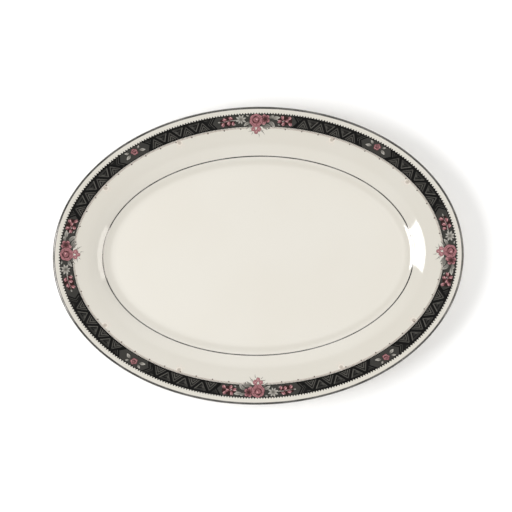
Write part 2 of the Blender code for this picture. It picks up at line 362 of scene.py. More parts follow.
@dataclass
class Trees:
    """The geometry node trees that make what repeats, what follows the oval and the main shape."""

    section: Section

    def __post_init__(self) -> None:
        """Builds each tree once."""
        self.oval_sweep = self.build_oval_sweep()
        self.motif_row = self.build_motif_row()
        self.petal_ring = self.build_petal_ring()
        self.motif_layout = self.build_motif_layout()
        self.rim_wrap = self.build_rim_wrap()

    @staticmethod
    def build_oval_sweep() -> GeometryTree:
        """Carries a section round the oval. Its points hold (inset, shrink, height)."""
        tree = GeometryTree("oval_sweep", Float="Half Length, Half Width", Int="Sides")
        size = tree.node("GeometryNodeAttributeDomainSize", Geometry=tree.given["Geometry"])
        count = tree.socket(size.outputs, "Point Count")
        columns = tree.math("ADD", tree.given["Sides"], 1)
        sheet = tree.node("GeometryNodeMeshGrid", Vertices_X=count, Vertices_Y=columns)
        index = tree.node("GeometryNodeInputIndex").outputs[0]
        step = tree.math("FLOOR", tree.math("DIVIDE", tree.math("ADD", index, 0.5), columns))
        side = tree.math("SUBTRACT", index, tree.math("MULTIPLY", step, columns))
        turn = tree.math("DIVIDE", tree.math("MULTIPLY", side, -2 * math.pi), tree.given["Sides"])
        here = tree.node("GeometryNodeInputPosition").outputs[0]
        sample = tree.node(
            "GeometryNodeSampleIndex",
            {"data_type": "FLOAT_VECTOR"},
            Geometry=tree.given["Geometry"],
            Value=here,
            Index=step,
        )
        inset, shrink, height = tree.split(sample.outputs[0])
        x, y = (
            tree.math(
                "MULTIPLY",
                tree.math("MULTIPLY", tree.math("SUBTRACT", tree.given[half], inset), shrink),
                tree.math(wave, turn),
            )
            for half, wave in (("Half Length", "COSINE"), ("Half Width", "SINE"))
        )
        moved = tree.node(
            "GeometryNodeSetPosition",
            Geometry=sheet.outputs["Mesh"],
            Position=tree.join(x, y, height),
        )
        closed = tree.node("GeometryNodeMergeByDistance", Geometry=moved.outputs[0], Distance=WELD)
        tree.close(closed.outputs[0])
        return tree

    @staticmethod
    def build_motif_row() -> GeometryTree:
        """Adds copies of a motif along the band, at an even pitch, to the sheet it is given."""
        tree = GeometryTree(
            "motif_row", Object="Motif", Float="Start, Inset, Pitch, Stretch", Int="Count"
        )
        start = tree.join(tree.given["Start"], tree.math("MULTIPLY", tree.given["Inset"], -1), 0.0)
        row = tree.node(
            "GeometryNodeMeshLine",
            Count=tree.given["Count"],
            Start_Location=start,
            Offset=tree.join(tree.given["Pitch"], 0.0, 0.0),
        )
        motif = tree.node("GeometryNodeObjectInfo", Object=tree.given["Motif"])
        copies = tree.node(
            "GeometryNodeInstanceOnPoints",
            Points=row.outputs[0],
            Instance=motif.outputs["Geometry"],
            Scale=tree.join(tree.given["Stretch"], 1.0, 1.0),
        )
        tree.close_with(copies.outputs[0])
        return tree

    @staticmethod
    def build_petal_ring() -> GeometryTree:
        """Adds a ring of petals, each pointing out, to the flower it is given."""
        tree = GeometryTree(
            "petal_ring",
            Object="Petal",
            Int="Count, Seed",
            Float="Radius, Size, Turn, Lift, Step, Unevenness",
        )
        ring = tree.node("GeometryNodeMeshCircle", Vertices=tree.given["Count"], Radius=1.0)
        index = tree.node("GeometryNodeInputIndex").outputs[0]
        share = tree.math("DIVIDE", index, tree.given["Count"])
        uneven = tree.given["Unevenness"]
        spread = tree.node(
            "FunctionNodeRandomValue",
            {"data_type": "FLOAT"},
            Min=tree.math("MULTIPLY", uneven, -1),
            Max=uneven,
            Seed=tree.given["Seed"],
        )
        chance = tree.socket(spread.outputs, "Value")
        angle = tree.math("MULTIPLY_ADD", share, 2 * math.pi, tree.given["Turn"])
        angle = tree.math("MULTIPLY_ADD", chance, PETAL_SWING, angle)
        place = tree.join(
            tree.math("MULTIPLY", tree.math("COSINE", angle), tree.given["Radius"]),
            tree.math("MULTIPLY", tree.math("SINE", angle), tree.given["Radius"]),
            tree.math("MULTIPLY_ADD", index, tree.given["Step"], tree.given["Lift"]),
        )
        spots = tree.node("GeometryNodeSetPosition", Geometry=ring.outputs[0], Position=place)
        petal = tree.node("GeometryNodeObjectInfo", Object=tree.given["Petal"])
        size = tree.math("MULTIPLY", tree.given["Size"], tree.math("ADD", chance, 1))
        copies = tree.node(
            "GeometryNodeInstanceOnPoints",
            Points=spots.outputs[0],
            Instance=petal.outputs["Geometry"],
            Rotation=tree.join(0.0, 0.0, angle),
            Scale=tree.join(size, size, 1.0),
        )
        tree.close_with(copies.outputs[0])
        return tree

    @staticmethod
    def build_motif_layout() -> GeometryTree:
        """Sets motifs on points, each by its point's kind, turn and size."""
        tree = GeometryTree("motif_layout", Collection="Motifs")
        kind, turn, wide = (
            tree.node(
                "GeometryNodeInputNamedAttribute", {"data_type": data_type}, Name=name
            ).outputs[0]
            for name, data_type in (("kind", "INT"), ("turn", "FLOAT"), ("size", "FLOAT"))
        )
        sheet = tree.node(
            "GeometryNodeCollectionInfo",
            Collection=tree.given["Motifs"],
            Separate_Children=True,
            Reset_Children=True,
        )
        copies = tree.node(
            "GeometryNodeInstanceOnPoints",
            Points=tree.given["Geometry"],
            Instance=sheet.outputs[0],
            Pick_Instance=True,
            Instance_Index=kind,
            Rotation=tree.join(0.0, 0.0, turn),
            Scale=tree.join(wide, wide, 1.0),
        )
        tree.close(copies.outputs[0])
        return tree

    @staticmethod
    def build_rim_wrap() -> GeometryTree:
        """Lays a flat sheet on the sloping rim. See the file's first lines for its directions."""
        names = "Half Length, Half Width, Band Inset, Rim Height, Rim Slope"
        tree = GeometryTree("rim_wrap", Float=names)
        length, width, band, rim, slope = (tree.given[name] for name in names.split(", "))
        across, deep = (tree.math("SUBTRACT", half, band) for half in (length, width))
        circle = tree.node("GeometryNodeCurvePrimitiveCircle", Resolution=OVAL_POINTS, Radius=1.0)
        oval = tree.node(
            "GeometryNodeTransform",
            Geometry=circle.outputs[0],
            Scale=tree.join(across, tree.math("MULTIPLY", deep, -1), 1.0),
        ).outputs[0]
        along, up, lift = tree.split(tree.node("GeometryNodeInputPosition").outputs[0])
        around = tree.node("GeometryNodeCurveLength", Curve=oval).outputs[0]
        spot = tree.node(
            "GeometryNodeSampleCurve",
            {"mode": "LENGTH", "use_all_curves": True},
            Curves=oval,
            Length=tree.math("FLOORED_MODULO", along, around),
        )
        x, y, _ = tree.split(spot.outputs["Position"])
        inset = tree.math("SUBTRACT", tree.math("MULTIPLY", lift, tree.math("SINE", slope)), up)
        x, y = (
            tree.math(
                "DIVIDE", tree.math("MULTIPLY", part, tree.math("SUBTRACT", half, inset)), base
            )
            for part, half, base in ((x, length, across), (y, width, deep))
        )
        level = tree.math("MULTIPLY_ADD", up, tree.math("TANGENT", slope), rim)
        height = tree.math("MULTIPLY_ADD", lift, tree.math("COSINE", slope), level)
        laid = tree.node(
            "GeometryNodeSetPosition",
            Geometry=tree.given["Geometry"],
            Position=tree.join(x, y, height),
        )
        tree.close(laid.outputs[0])
        return tree

    def sweep(
        self, section: Sequence[Sequence[float]], sides: int, look: Material
    ) -> Mesh:
        """Carries (inset, shrink, height) points round the oval.

        Args:
            section: the section's points.
            sides: how many steps the oval has.
            look: the material.

        Returns:
            The swept mesh.
        """
        return self.oval_sweep.run(
            line_mesh(section),
            Half_Length=self.section.half_length,
            Half_Width=self.section.half_width,
            Sides=sides,
            Material=look,
        )

    def repeat(
        self,
        sheet: Mesh,
        motif: Mesh,
        look: Material,
        start: float = 0.0,
        inset: float = 0.0,
        pitch: float = 0.0,
        count: int = 1,
        stretch: float = 1.0,
    ) -> Mesh:
        """Adds copies of a motif to a flat sheet. Lengths are in millimetres.

        Args:
            sheet: the sheet so far.
            motif: what is copied.
            look: the ink.
            start: the first copy's place along the band.
            inset: how far in the copies lie.
            pitch: the step from copy to copy.
            count: how many copies.
            stretch: how much longer each copy is along the band.

        Returns:
            The sheet with the copies.
        """
        return self.motif_row.run(
            sheet,
            Motif=hidden_object("motif", motif),
            Start=start * MM,
            Inset=inset * MM,
            Pitch=pitch * MM,
            Count=count,
            Stretch=stretch,
            Material=look,
        )

    def wrap(self, sheet: Mesh, look: Material) -> Mesh:
        """Lays a printed sheet on the rim and gives it its ink."""
        return self.rim_wrap.run(
            sheet,
            Half_Length=self.section.half_length,
            Half_Width=self.section.half_width,
            Band_Inset=Band().middle,
            Rim_Height=self.section.rim_height,
            Rim_Slope=self.section.rim_slope,
            Material=look,
        )


# Places on the band.


@dataclass(frozen=True)
class Band:
    """The border band: how far in it lies, and where its panels stand along it, clockwise."""

    inset: float = 6.2 * MM
    width: float = 10.8 * MM
    rose_length: float = 75.2 * MM
    bud_length: float = 30.6 * MM
    point: float = 4.0 * MM

    @property
    def middle(self) -> float:
        """The inset of the band's middle line."""
        return self.inset + self.width / 2

    @property
    def length(self) -> float:
        """The length of the band's middle line."""
        turns = np.linspace(0, 2 * math.pi, 8193)
        section = Section()
        x = (section.half_length - self.middle) * np.cos(turns)
        y = (section.half_width - self.middle) * np.sin(turns)
        return float(np.hypot(np.diff(x), np.diff(y)).sum())


@dataclass(frozen=True)
class PanelPlace:
    """Where a panel is. Its slips say how far its print is off, clockwise, in millimetres."""

    name: str
    eighth: int
    panel_slip: float
    flower_slip: float

    @property
    def is_bud(self) -> bool:
        """Whether it is one of the short panels on the diagonals."""
        return "_" in self.name

    @property
    def center(self) -> float:
        """The panel's middle along the band."""
        return Band().length * self.eighth / 8 + self.panel_slip * MM

    @property
    def flower(self) -> float:
        """The middle of the panel's main flower along the band."""
        return Band().length * self.eighth / 8 + self.flower_slip * MM

    @property
    def middle(self) -> float:
        """The middle of the main flower, in millimetres."""
        return self.flower / MM

    @property
    def length(self) -> float:
        """The panel's length from point to point."""
        return Band().bud_length if self.is_bud else Band().rose_length


PLACES = (
    PanelPlace("right", 0, -3.6, -1.4),
    PanelPlace("front_right", 1, -0.8, -1.4),
    PanelPlace("front", 2, 1.1, 2.2),
    PanelPlace("front_left", 3, 2.3, 1.4),
    PanelPlace("left", 4, 1.7, 4.0),
    PanelPlace("back_left", 5, 1.9, 2.6),
    PanelPlace("back", 6, -1.2, 0.0),
    PanelPlace("back_right", 7, -4.3, -4.1),
)


def between(kind: str, first: PanelPlace, second: PanelPlace) -> str:
    """The name of a piece between a rose panel and a bud panel, such as border_right_back."""
    rose, bud = (second, first) if first.is_bud else (first, second)
    side = next(word for word in bud.name.split("_") if word != rose.name)
    return f"{kind}_{rose.name}_{side}"


# Drawing the print.


class PrintSheet:
    """A flat drawing in millimetres, made of thin closed slabs.

    Each point of a slab has a tone, from 0, its ink's darkest, to 1, its palest.
    """

    SUNK = -0.04

    def __init__(self) -> None:
        """Starts an empty sheet."""
        self.points: list[tuple[float, float, float]] = []
        self.tones: list[float] = []
        self.faces: list[tuple[int, ...]] = []

    def stroke(
        self,
        path: Sequence[Point],
        width: float | Sequence[float],
        tone: float | Sequence[float],
        top: float = 0.05,
        step: float = 2.4,
    ) -> None:
        """Draws a line with square ends.

        Args:
            path: the line's corners.
            width: its width, or its widths along the path.
            tone: its tone, or its tones along the path.
            top: how far its face stands off the glaze.
            step: the longest stretch between two points.
        """
        spots = np.array(path, float)
        shares = np.linspace(0, 1, len(spots))
        lengths = np.hypot(*np.diff(spots, axis=0).T)
        cuts = [0.0]
        for index, length in enumerate(lengths):
            pieces = max(1, math.ceil(length / step))
            gap = shares[index + 1] - shares[index]
            cuts += list(shares[index] + gap * np.arange(1, pieces + 1) / pieces)
        x, y = (np.interp(cuts, shares, spots[:, axis]) for axis in (0, 1))
        wide, shade = (
            np.interp(cuts, np.linspace(0, 1, np.size(value)), np.atleast_1d(value))
            for value in (width, tone)
        )
        ahead = np.gradient(np.column_stack([x, y]), axis=0)
        ahead /= np.maximum(np.hypot(*ahead.T), 1e-9)[:, None]
        first = len(self.points)
        for spot, way, half, value in zip(zip(x, y), ahead, wide / 2, shade):
            left = (spot[0] - way[1] * half, spot[1] + way[0] * half)
            right = (spot[0] + way[1] * half, spot[1] - way[0] * half)
            self.points += [(*left, top), (*right, top), (*right, self.SUNK), (*left, self.SUNK)]
            self.tones += [value] * 4
        last = len(self.points) - 4
        for ring in range(first, last, 4):
            for side in range(4):
                after = (side + 1) % 4
                self.faces.append((ring + side, ring + after, ring + after + 4, ring + side + 4))
        self.faces += [tuple(range(first + 3, first - 1, -1)), tuple(range(last, last + 4))]

    def patch(
        self,
        outline: Sequence[Point],
        tones: float | Sequence[float],
        heart: tuple[float, float, float] | None = None,
        top: float = 0.05,
        dome: float = 0.0,
    ) -> None:
        """Draws a filled shape, as a fan around its heart.

        Args:
            outline: its edge, anticlockwise.
            tones: its tone, or the tone at each point of its edge.
            heart: the (x, y, tone) of the fan's middle, if not the edge's own.
            top: how far its edge stands off the glaze.
            dome: how much further its heart stands off.
        """
        count = len(outline)
        shades = [float(tones)] * count if np.ndim(tones) == 0 else list(tones)
        if heart is None:
            heart = (*np.mean(outline, axis=0), float(np.mean(shades)))
        first = len(self.points)
        self.points += [(*spot, top) for spot in outline] + [(*spot, self.SUNK) for spot in outline]
        self.points.append((heart[0], heart[1], top + dome))
        self.tones += shades * 2 + [heart[2]]
        middle = first + 2 * count
        for index in range(count):
            after = (index + 1) % count
            near, far = first + index, first + after
            self.faces += [(near, far, middle), (far, near, near + count, far + count)]
        self.faces.append(tuple(range(first + 2 * count - 1, first + count - 1, -1)))

    def disc(
        self, x: float, y: float, radius: float, edge: float, heart: float, **shape: float
    ) -> None:
        """Draws a round spot, with a tone at its edge and one at its heart."""
        angles = np.linspace(0, 2 * math.pi, 12, endpoint=False)
        outline = [(x + radius * math.cos(a), y + radius * math.sin(a)) for a in angles]
        self.patch(outline, edge, (x, y, heart), **shape)

    def petal(
        self,
        length: float,
        width: float,
        tones: tuple[float, float, float],
        fullness: float = 1.0,
        at: Point = (0.0, 0.0),
        turn: float = 0.0,
        **shape: float,
    ) -> None:
        """Draws a petal or a leaf that points along a direction from its base.

        Args:
            length: its length.
            width: its greatest width.
            tones: the tones at its base, at its heart and at its tip.
            fullness: 1 for a shape that is widest half way, more for one widest near its tip.
            at: its base.
            turn: its direction.
            **shape: patch's top and dome.
        """
        shares = np.linspace(0, 1, 7)
        spread = np.maximum(np.sin(math.pi * shares**fullness), 0.12) * width / 2
        side = [(share * length, -half, share) for share, half in zip(shares, spread)]
        edge = side + [(x, -y, share) for x, y, share in side[::-1]]
        cos, sin = math.cos(turn), math.sin(turn)
        outline = [(at[0] + x * cos - y * sin, at[1] + x * sin + y * cos) for x, y, _ in edge]
        heart_x = length * 0.5 ** (1 / fullness)
        heart = (at[0] + heart_x * cos, at[1] + heart_x * sin, tones[1])
        shades = [tones[0] + (tones[2] - tones[0]) * share for _, _, share in edge]
        self.patch(outline, shades, heart, **shape)

    def mesh(self, name: str = "print") -> Mesh:
        """The drawing as a mesh in metres, with its tones as a point attribute."""
        made = bpy.data.meshes.new(name)
        points = [tuple(part * MM for part in point) for point in self.points]
        made.from_pydata(points, [], self.faces)
        tones = made.attributes.new("tone", "FLOAT", "POINT")
        tones.data.foreach_set("value", self.tones)
        return made


def hidden_object(name: str, mesh: Mesh) -> bpy.types.Object:
    """An object that trees copy from, and that isn't in the scene."""
    return bpy.data.objects.new(name, mesh)


# Finishes.


def from_srgb(*parts: float) -> Color:
    """A linear colour from one given in screen steps of 0 to 255."""
    shares = [part / 255 for part in parts]
    return tuple(s / 12.92 if s <= 0.04045 else ((s + 0.055) / 1.055) ** 2.4 for s in shares)


class ShaderSheet(NodeSheet):
    """A shader tree while it is being wired."""

    def place(self) -> Socket:
        """The surface's own place on the piece."""
        return self.node("ShaderNodeTexCoord").outputs["Object"]

    def noise(
        self,
        size: float,
        detail: float = 2.0,
        stretch: Sequence[float] = (1, 1, 1),
        turn: float = 0.0,
    ) -> Socket:
        """Soft noise.

        Args:
            size: its grain.
            detail: its finer layers.
            stretch: how much finer it is along X, Y and Z.
            turn: how far it is turned about Z.

        Returns:
            Its value, around a half.
        """
        turned = (0, 0, turn)
        spot = self.node("ShaderNodeMapping", Vector=self.place(), Scale=stretch, Rotation=turned)
        spread = {"Vector": spot.outputs[0], "Scale": 1 / size, "Detail": detail}
        return self.node("ShaderNodeTexNoise", **spread).outputs[0]

    def between(
        self, value: object, low: float, high: float, start: float = 0.0, end: float = 1.0
    ) -> Socket:
        """A value's way from low to high, as a smooth step from start to end."""
        limits = {"From_Min": low, "From_Max": high, "To_Min": start, "To_Max": end}
        settings = {"interpolation_type": "SMOOTHSTEP"}
        return self.node("ShaderNodeMapRange", settings, Value=value, **limits).outputs[0]

    def mix(self, share: object, first: object, second: object, blend: str = "MIX") -> Socket:
        """A mix of two colours."""
        made = self.node("ShaderNodeMix", {"data_type": "RGBA", "blend_type": blend}, Factor=share)
        for name, value in (("A", first), ("B", second)):
            if isinstance(value, tuple):
                value = (*value, 1.0)
            self.feed(self.socket(made.inputs, name), value)
        return self.socket(made.outputs, "Result")

    def ramp(self, value: object, stops: Sequence[tuple[float, Color]]) -> Socket:
        """A colour from a ramp of (position, colour) stops."""
        made = self.node("ShaderNodeValToRGB", Fac=value)
        elements = made.color_ramp.elements
        while len(elements) < len(stops):
            elements.new(0.5)
        for element, (position, color) in zip(elements, stops):
            element.position = position
            element.color = (*color, 1.0)
        return made.outputs["Color"]

    def surface(self, shader: Node, effects: "Effects", color: Socket, marks: "Marks") -> Socket:
        """Gives a shader its colour, its marks of use and the glaze's ripple.

        Args:
            shader: the Principled shader.
            effects: the shared effects.
            color: its colour.
            marks: how strong each effect is.

        Returns:
            The roughness that it was given.
        """
        wear = self.use(
            effects.table_wear,
            Roughness=marks.roughness,
            Scratches=marks.scratches,
            Rub=marks.rub,
        )
        ripple = self.use(effects.glaze_ripple, Ripple=marks.ripple, Dimple=marks.dimple)
        height = ripple.outputs["Height"]
        bump = self.node("ShaderNodeBump", Height=height, Distance=1.0, Strength=1.0)
        rough = wear.outputs["Roughness"]
        fed = {"Base Color": color, "Roughness": rough, "Normal": bump.outputs[0]}
        for label, value in fed.items():
            self.feed(shader.inputs[label], value)
        return rough

    def use(self, group: "Effect", **inputs: object) -> Node:
        """Places an effect with its own values."""
        made = self.tree.nodes.new("ShaderNodeGroup")
        made.node_tree = group.tree
        for name, value in inputs.items():
            if isinstance(value, tuple):
                value = (*value, 1.0)
            self.feed(made.inputs[name.replace("_", " ")], value)
        return made


class Effect(ShaderSheet):
    """A shader node group with named inputs and outputs, which more than one finish uses."""

    def __init__(self, name: str, inputs: dict[str, str], outputs: dict[str, str]) -> None:
        """Makes the group's tree and sockets, each given as its name and type."""
        super().__init__(bpy.data.node_groups.new(name, "ShaderNodeTree"))
        for way, sockets in (("INPUT", inputs), ("OUTPUT", outputs)):
            for label, kind in sockets.items():
                self.tree.interface.new_socket(label, in_out=way, socket_type=f"NodeSocket{kind}")
        self.given = self.tree.nodes.new("NodeGroupInput").outputs
        self.result = self.tree.nodes.new("NodeGroupOutput").inputs


class Effects:
    """The shared effects: the glaze's ripple, the marks of use and the screen's uneven ink."""

    def __init__(self) -> None:
        """Builds each group once."""
        self.glaze_ripple = self.build_glaze_ripple()
        self.table_wear = self.build_table_wear()
        self.screen_ink = self.build_screen_ink()

    @staticmethod
    def build_glaze_ripple() -> Effect:
        """The glaze's soft unevenness, as a height in metres."""
        sheet = Effect("glaze_ripple", {"Ripple": "Float", "Dimple": "Float"}, {"Height": "Float"})
        wave = sheet.math("MULTIPLY", sheet.noise(24 * MM, 1.0), sheet.given["Ripple"])
        dimple = sheet.math("MULTIPLY", sheet.noise(1.6 * MM, 1.0), sheet.given["Dimple"])
        sheet.feed(sheet.result["Height"], sheet.math("ADD", wave, dimple))
        return sheet

    @staticmethod
    def build_table_wear() -> Effect:
        """Fine scratches from cutlery and stacking, and a duller bloom where it is rubbed."""
        sheet = Effect(
            "table_wear",
            {"Roughness": "Float", "Scratches": "Float", "Rub": "Float"},
            {"Roughness": "Float", "Scratched": "Float"},
        )
        marks = []
        for turn in (0.35, 1.25, 2.3):
            grain = sheet.noise(9 * MM, 2.0, (1, 42, 1), turn)
            patch = sheet.between(sheet.noise(30 * MM, 1.0, (1, 1, 1), turn), 0.5, 0.68)
            marks.append(sheet.math("MULTIPLY", sheet.between(grain, 0.70, 0.76), patch))
        scratched = sheet.math("MAXIMUM", sheet.math("MAXIMUM", *marks[:2]), marks[2])
        rubbed = sheet.between(sheet.noise(40 * MM, 3.0), 0.42, 0.68)
        given = sheet.given
        rough = sheet.math("MULTIPLY_ADD", scratched, given["Scratches"], given["Roughness"])
        rough = sheet.math("MULTIPLY_ADD", rubbed, given["Rub"], rough)
        sheet.feed(sheet.result["Roughness"], rough)
        sheet.feed(sheet.result["Scratched"], scratched)
        return sheet

    @staticmethod
    def build_screen_ink() -> Effect:
        """Printed colour: a fine grain, a slow change in its strength and a few pinholes."""
        sheet = Effect(
            "screen_ink", {"Ink": "Color", "Grain": "Float", "Pinholes": "Float"}, {"Ink": "Color"}
        )
        fine = sheet.math("SUBTRACT", sheet.noise(0.35 * MM, 2.0), 0.5)
        slow = sheet.math("SUBTRACT", sheet.noise(7 * MM, 2.0), 0.5)
        uneven = sheet.math("MULTIPLY_ADD", slow, 0.8, fine)
        change = sheet.math("MULTIPLY", uneven, sheet.given["Grain"])
        gain = sheet.math("ADD", change, 1.0)
        shaded = sheet.mix(1.0, sheet.given["Ink"], sheet.join(gain, gain, gain), "MULTIPLY")
        dots = sheet.node("ShaderNodeTexVoronoi", Vector=sheet.place(), Scale=1 / (1.1 * MM))
        hole = sheet.between(dots.outputs["Distance"], 0.10, 0.04)
        hole = sheet.math("MULTIPLY", hole, sheet.given["Pinholes"])
        sheet.feed(sheet.result["Ink"], sheet.mix(hole, shaded, (0.40, 0.37, 0.32)))
        return sheet


def new_material(name: str, **constants: object) -> tuple[Material, ShaderSheet, Node]:
    """A material with one Principled shader.

    Args:
        name: its name.
        **constants: values for the shader's own sockets, by name with _ for a space.

    Returns:
        The material, its tree's sheet and its shader.
    """
    made = bpy.data.materials.new(name)
    made.use_nodes = True
    shader = made.node_tree.nodes["Principled BSDF"]
    for label, value in constants.items():
        shader.inputs[label.replace("_", " ")].default_value = value
    return made, ShaderSheet(made.node_tree), shader


@dataclass(frozen=True)
class Marks:
    """How rough a finish is, and how strongly it shows wear and the glaze's ripple."""

    roughness: float
    scratches: float
    rub: float
    dimple: float
    ripple: float = 9e-6


@dataclass(frozen=True)
class GlazedChina:
    """Warm ivory china under a clear gloss glaze, bare and matte on the foot's tread."""

    ivory: Color = (0.654, 0.628, 0.566)
    warm: Color = (0.645, 0.616, 0.550)
    biscuit: Color = (0.60, 0.55, 0.47)
    speck: Color = (0.34, 0.29, 0.23)
    marks: Marks = Marks(0.055, scratches=0.16, rub=0.025, dimple=5e-7)
    bare_roughness: float = 0.62
    tread_height: float = 0.45 * MM

    def material(self, effects: Effects) -> Material:
        """Builds the material."""
        made, sheet, shader = new_material("glazed_china", IOR=1.6)
        tint = sheet.between(sheet.noise(85 * MM, 2.0), 0.35, 0.70)
        body = sheet.mix(tint, self.ivory, self.warm)
        spots = sheet.node("ShaderNodeTexVoronoi", Vector=sheet.place(), Scale=1 / (17 * MM))
        fleck = sheet.between(spots.outputs["Distance"], 0.030, 0.012)
        chosen = sheet.between(sheet.noise(23 * MM, 0.0), 0.52, 0.60)
        flecked = sheet.math("MULTIPLY", sheet.math("MULTIPLY", fleck, chosen), 0.55)
        body = sheet.mix(flecked, body, self.speck)
        height = sheet.split(sheet.place())[2]
        bare = sheet.between(height, self.tread_height, self.tread_height * 0.6)
        color = sheet.mix(bare, body, self.biscuit)
        worn = sheet.surface(shader, effects, color, self.marks)
        rough = sheet.math("MULTIPLY_ADD", bare, self.bare_roughness, worn)
        sheet.feed(shader.inputs["Roughness"], rough)
        return made


@dataclass(frozen=True)
class PlatinumLustre:
    """A thin brushed band of fired platinum, with small worn places where the china shows."""

    bright: Color = (0.17, 0.164, 0.155)
    dull: Color = (0.09, 0.087, 0.082)
    china: Color = (0.70, 0.66, 0.58)
    marks: Marks = Marks(0.07, scratches=0.20, rub=0.05, dimple=2e-6)

    def material(self, effects: Effects) -> Material:
        """Builds the material."""
        made, sheet, shader = new_material("platinum_lustre", IOR=1.5)
        cloud = sheet.between(sheet.noise(14 * MM, 3.0), 0.35, 0.65)
        metal = sheet.mix(cloud, self.bright, self.dull)
        worn = sheet.between(sheet.noise(1.3 * MM, 4.0), 0.68, 0.78)
        color = sheet.mix(worn, metal, self.china)
        sheet.surface(shader, effects, color, self.marks)
        sheet.feed(shader.inputs["Metallic"], sheet.math("SUBTRACT", 1.0, worn))
        return made


@dataclass(frozen=True)
class TransferInk:
    """A printed colour fired into the glaze. Its stops run from its darkest tone to its palest."""

    name: str
    stops: tuple[tuple[float, Color], ...]
    grain: float = 0.5
    pinholes: float = 0.0
    marks: Marks = Marks(0.10, scratches=0.14, rub=0.04, dimple=8e-7)

    def material(self, effects: Effects) -> Material:
        """Builds the material."""
        made, sheet, shader = new_material(self.name, IOR=1.5)
        tone = sheet.node("ShaderNodeAttribute", {"attribute_name": "tone"}).outputs["Fac"]
        color = sheet.ramp(tone, self.stops)
        ink = sheet.use(effects.screen_ink, Grain=self.grain, Pinholes=self.pinholes)
        sheet.tree.links.new(color, ink.inputs["Ink"])
        sheet.surface(shader, effects, ink.outputs["Ink"], self.marks)
        return made


def screen_stops(
    *stops: tuple[float, float, float, float],
) -> tuple[tuple[float, Color], ...]:
    """Ramp stops from (position, red, green, blue) with colours in screen steps."""
    return tuple((position, from_srgb(*color)) for position, *color in stops)


GROUND_INK = TransferInk(
    "border_ground_ink",
    screen_stops((0.0, 8, 8, 6), (0.4, 34, 33, 31), (0.7, 54, 53, 50), (1.0, 74, 72, 68)),
    grain=0.35,
    pinholes=0.25,
)
LINE_INK = TransferInk(
    "border_line_ink", screen_stops((0.0, 5, 5, 4), (1.0, 34, 33, 31)), grain=0.6
)
CHEVRON_INK = TransferInk(
    "border_chevron_ink",
    screen_stops((0.0, 4, 4, 3), (0.5, 52, 51, 48), (1.0, 84, 82, 77)),
    grain=0.5,
)
ROSE_INK = TransferInk(
    "rose_ink",
    screen_stops(
        (0.0, 44, 26, 24),
        (0.25, 84, 54, 55),
        (0.5, 138, 90, 94),
        (0.75, 172, 120, 124),
        (1.0, 206, 160, 160),
    ),
    grain=0.35,
)
LEAF_INK = TransferInk(
    "leaf_ink",
    screen_stops((0.0, 44, 42, 39), (0.35, 98, 95, 89), (0.7, 150, 146, 139), (1.0, 188, 184, 176)),
    grain=0.3,
)
SPRIG_INK = TransferInk(
    "sprig_ink",
    screen_stops(
        (0.0, 172, 162, 150),
        (0.5, 200, 192, 181),
        (0.8, 213, 205, 195),
        (1.0, 221, 214, 204),
    ),
    grain=0.12,
)
BEAD_INK = TransferInk(
    "bead_ink",
    screen_stops((0.0, 62, 50, 46), (0.5, 150, 132, 122), (1.0, 206, 194, 183)),
    grain=0.25,
)


@dataclass
class Palette:
    """Every finish, built once."""

    effects: Effects = field(default_factory=Effects)
    inks: dict[str, Material] = field(default_factory=dict)

    def __post_init__(self) -> None:
        """Builds the china and the platinum."""
        self.china = GlazedChina().material(self.effects)
        self.platinum = PlatinumLustre().material(self.effects)

    def ink(self, finish: TransferInk) -> Material:
        """The material of an ink."""
        if finish.name not in self.inks:
            self.inks[finish.name] = finish.material(self.effects)
        return self.inks[finish.name]


def add_piece(
    name: str, mesh: Mesh, replaced: Sequence[str] = (), crease: float = 35.0
) -> bpy.types.Object:
    """Puts a finished mesh into the scene as a piece of the platter.

    Args:
        name: the piece's name.
        mesh: its mesh, in place.
        replaced: the CAD nodes that it stands for.
        crease: the angle in degrees past which an edge stays sharp.

    Returns:
        The new object.
    """
    mesh.name = name
    mesh.shade_smooth()
    mesh.set_sharp_from_angle(angle=math.radians(crease))
    made = bpy.data.objects.new(name, mesh)
    bpy.context.scene.collection.objects.link(made)
    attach(made, "root")
    if replaced:
        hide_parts(*replaced)
    LOG.info("%s: %d faces", name, len(mesh.polygons))
    return made


# The china and its platinum lines.


@dataclass
class Part:
    """What every part of the platter is built with."""

    trees: Trees
    palette: Palette


@dataclass
class ChinaBody(Part):
    """The glazed body: lip, sloping rim, shoulder, cove, flat well and foot ring."""

    sides: int = 420

    def build(self) -> bpy.types.Object:
        """Sweeps the section round the oval."""
        mesh = self.trees.sweep(self.trees.section.outline(), self.sides, self.palette.china)
        return add_piece("glazed_body", mesh, ["china_body"], crease=50)


@dataclass
class PlatinumLines(Part):
    """The lines brushed in platinum round the lip and round the top of the well."""

    lip_start: float = math.radians(4)
    lip_end: float = math.radians(106)
    verge_inset: float = 42.41 * MM
    verge_width: float = 1.05 * MM
    crown: float = 0.025 * MM
    sides: int = 420
    steps: int = 8

    def build(self) -> None:
        """Builds both lines as thin closed bands with feathered edges."""
        section = self.trees.section
        lip, verge = [], []
        for share in np.linspace(-1, 1, self.steps + 1):
            lift = self.crown * (1 - share**2) ** 0.5
            angle = self.lip_start + (self.lip_end - self.lip_start) * (share + 1) / 2
            lip.append((section.lip_point(angle, lift), section.lip_point(angle, -self.crown)))
            inset = self.verge_inset + self.verge_width / 2 * share
            verge.append((section.lifted(inset, lift), section.lifted(inset, -self.crown)))
        for name, pairs in (("rim_line", lip), ("verge_line", verge)):
            loop = [top for top, _ in pairs] + [under for _, under in pairs[-2:0:-1]]
            loop.append(loop[0])
            points = [(inset, 1.0, height) for inset, height in loop]
            mesh = self.trees.sweep(points, self.sides, self.palette.platinum)
            add_piece(f"{name}_platinum", mesh, [name], crease=60)


# The printed border.


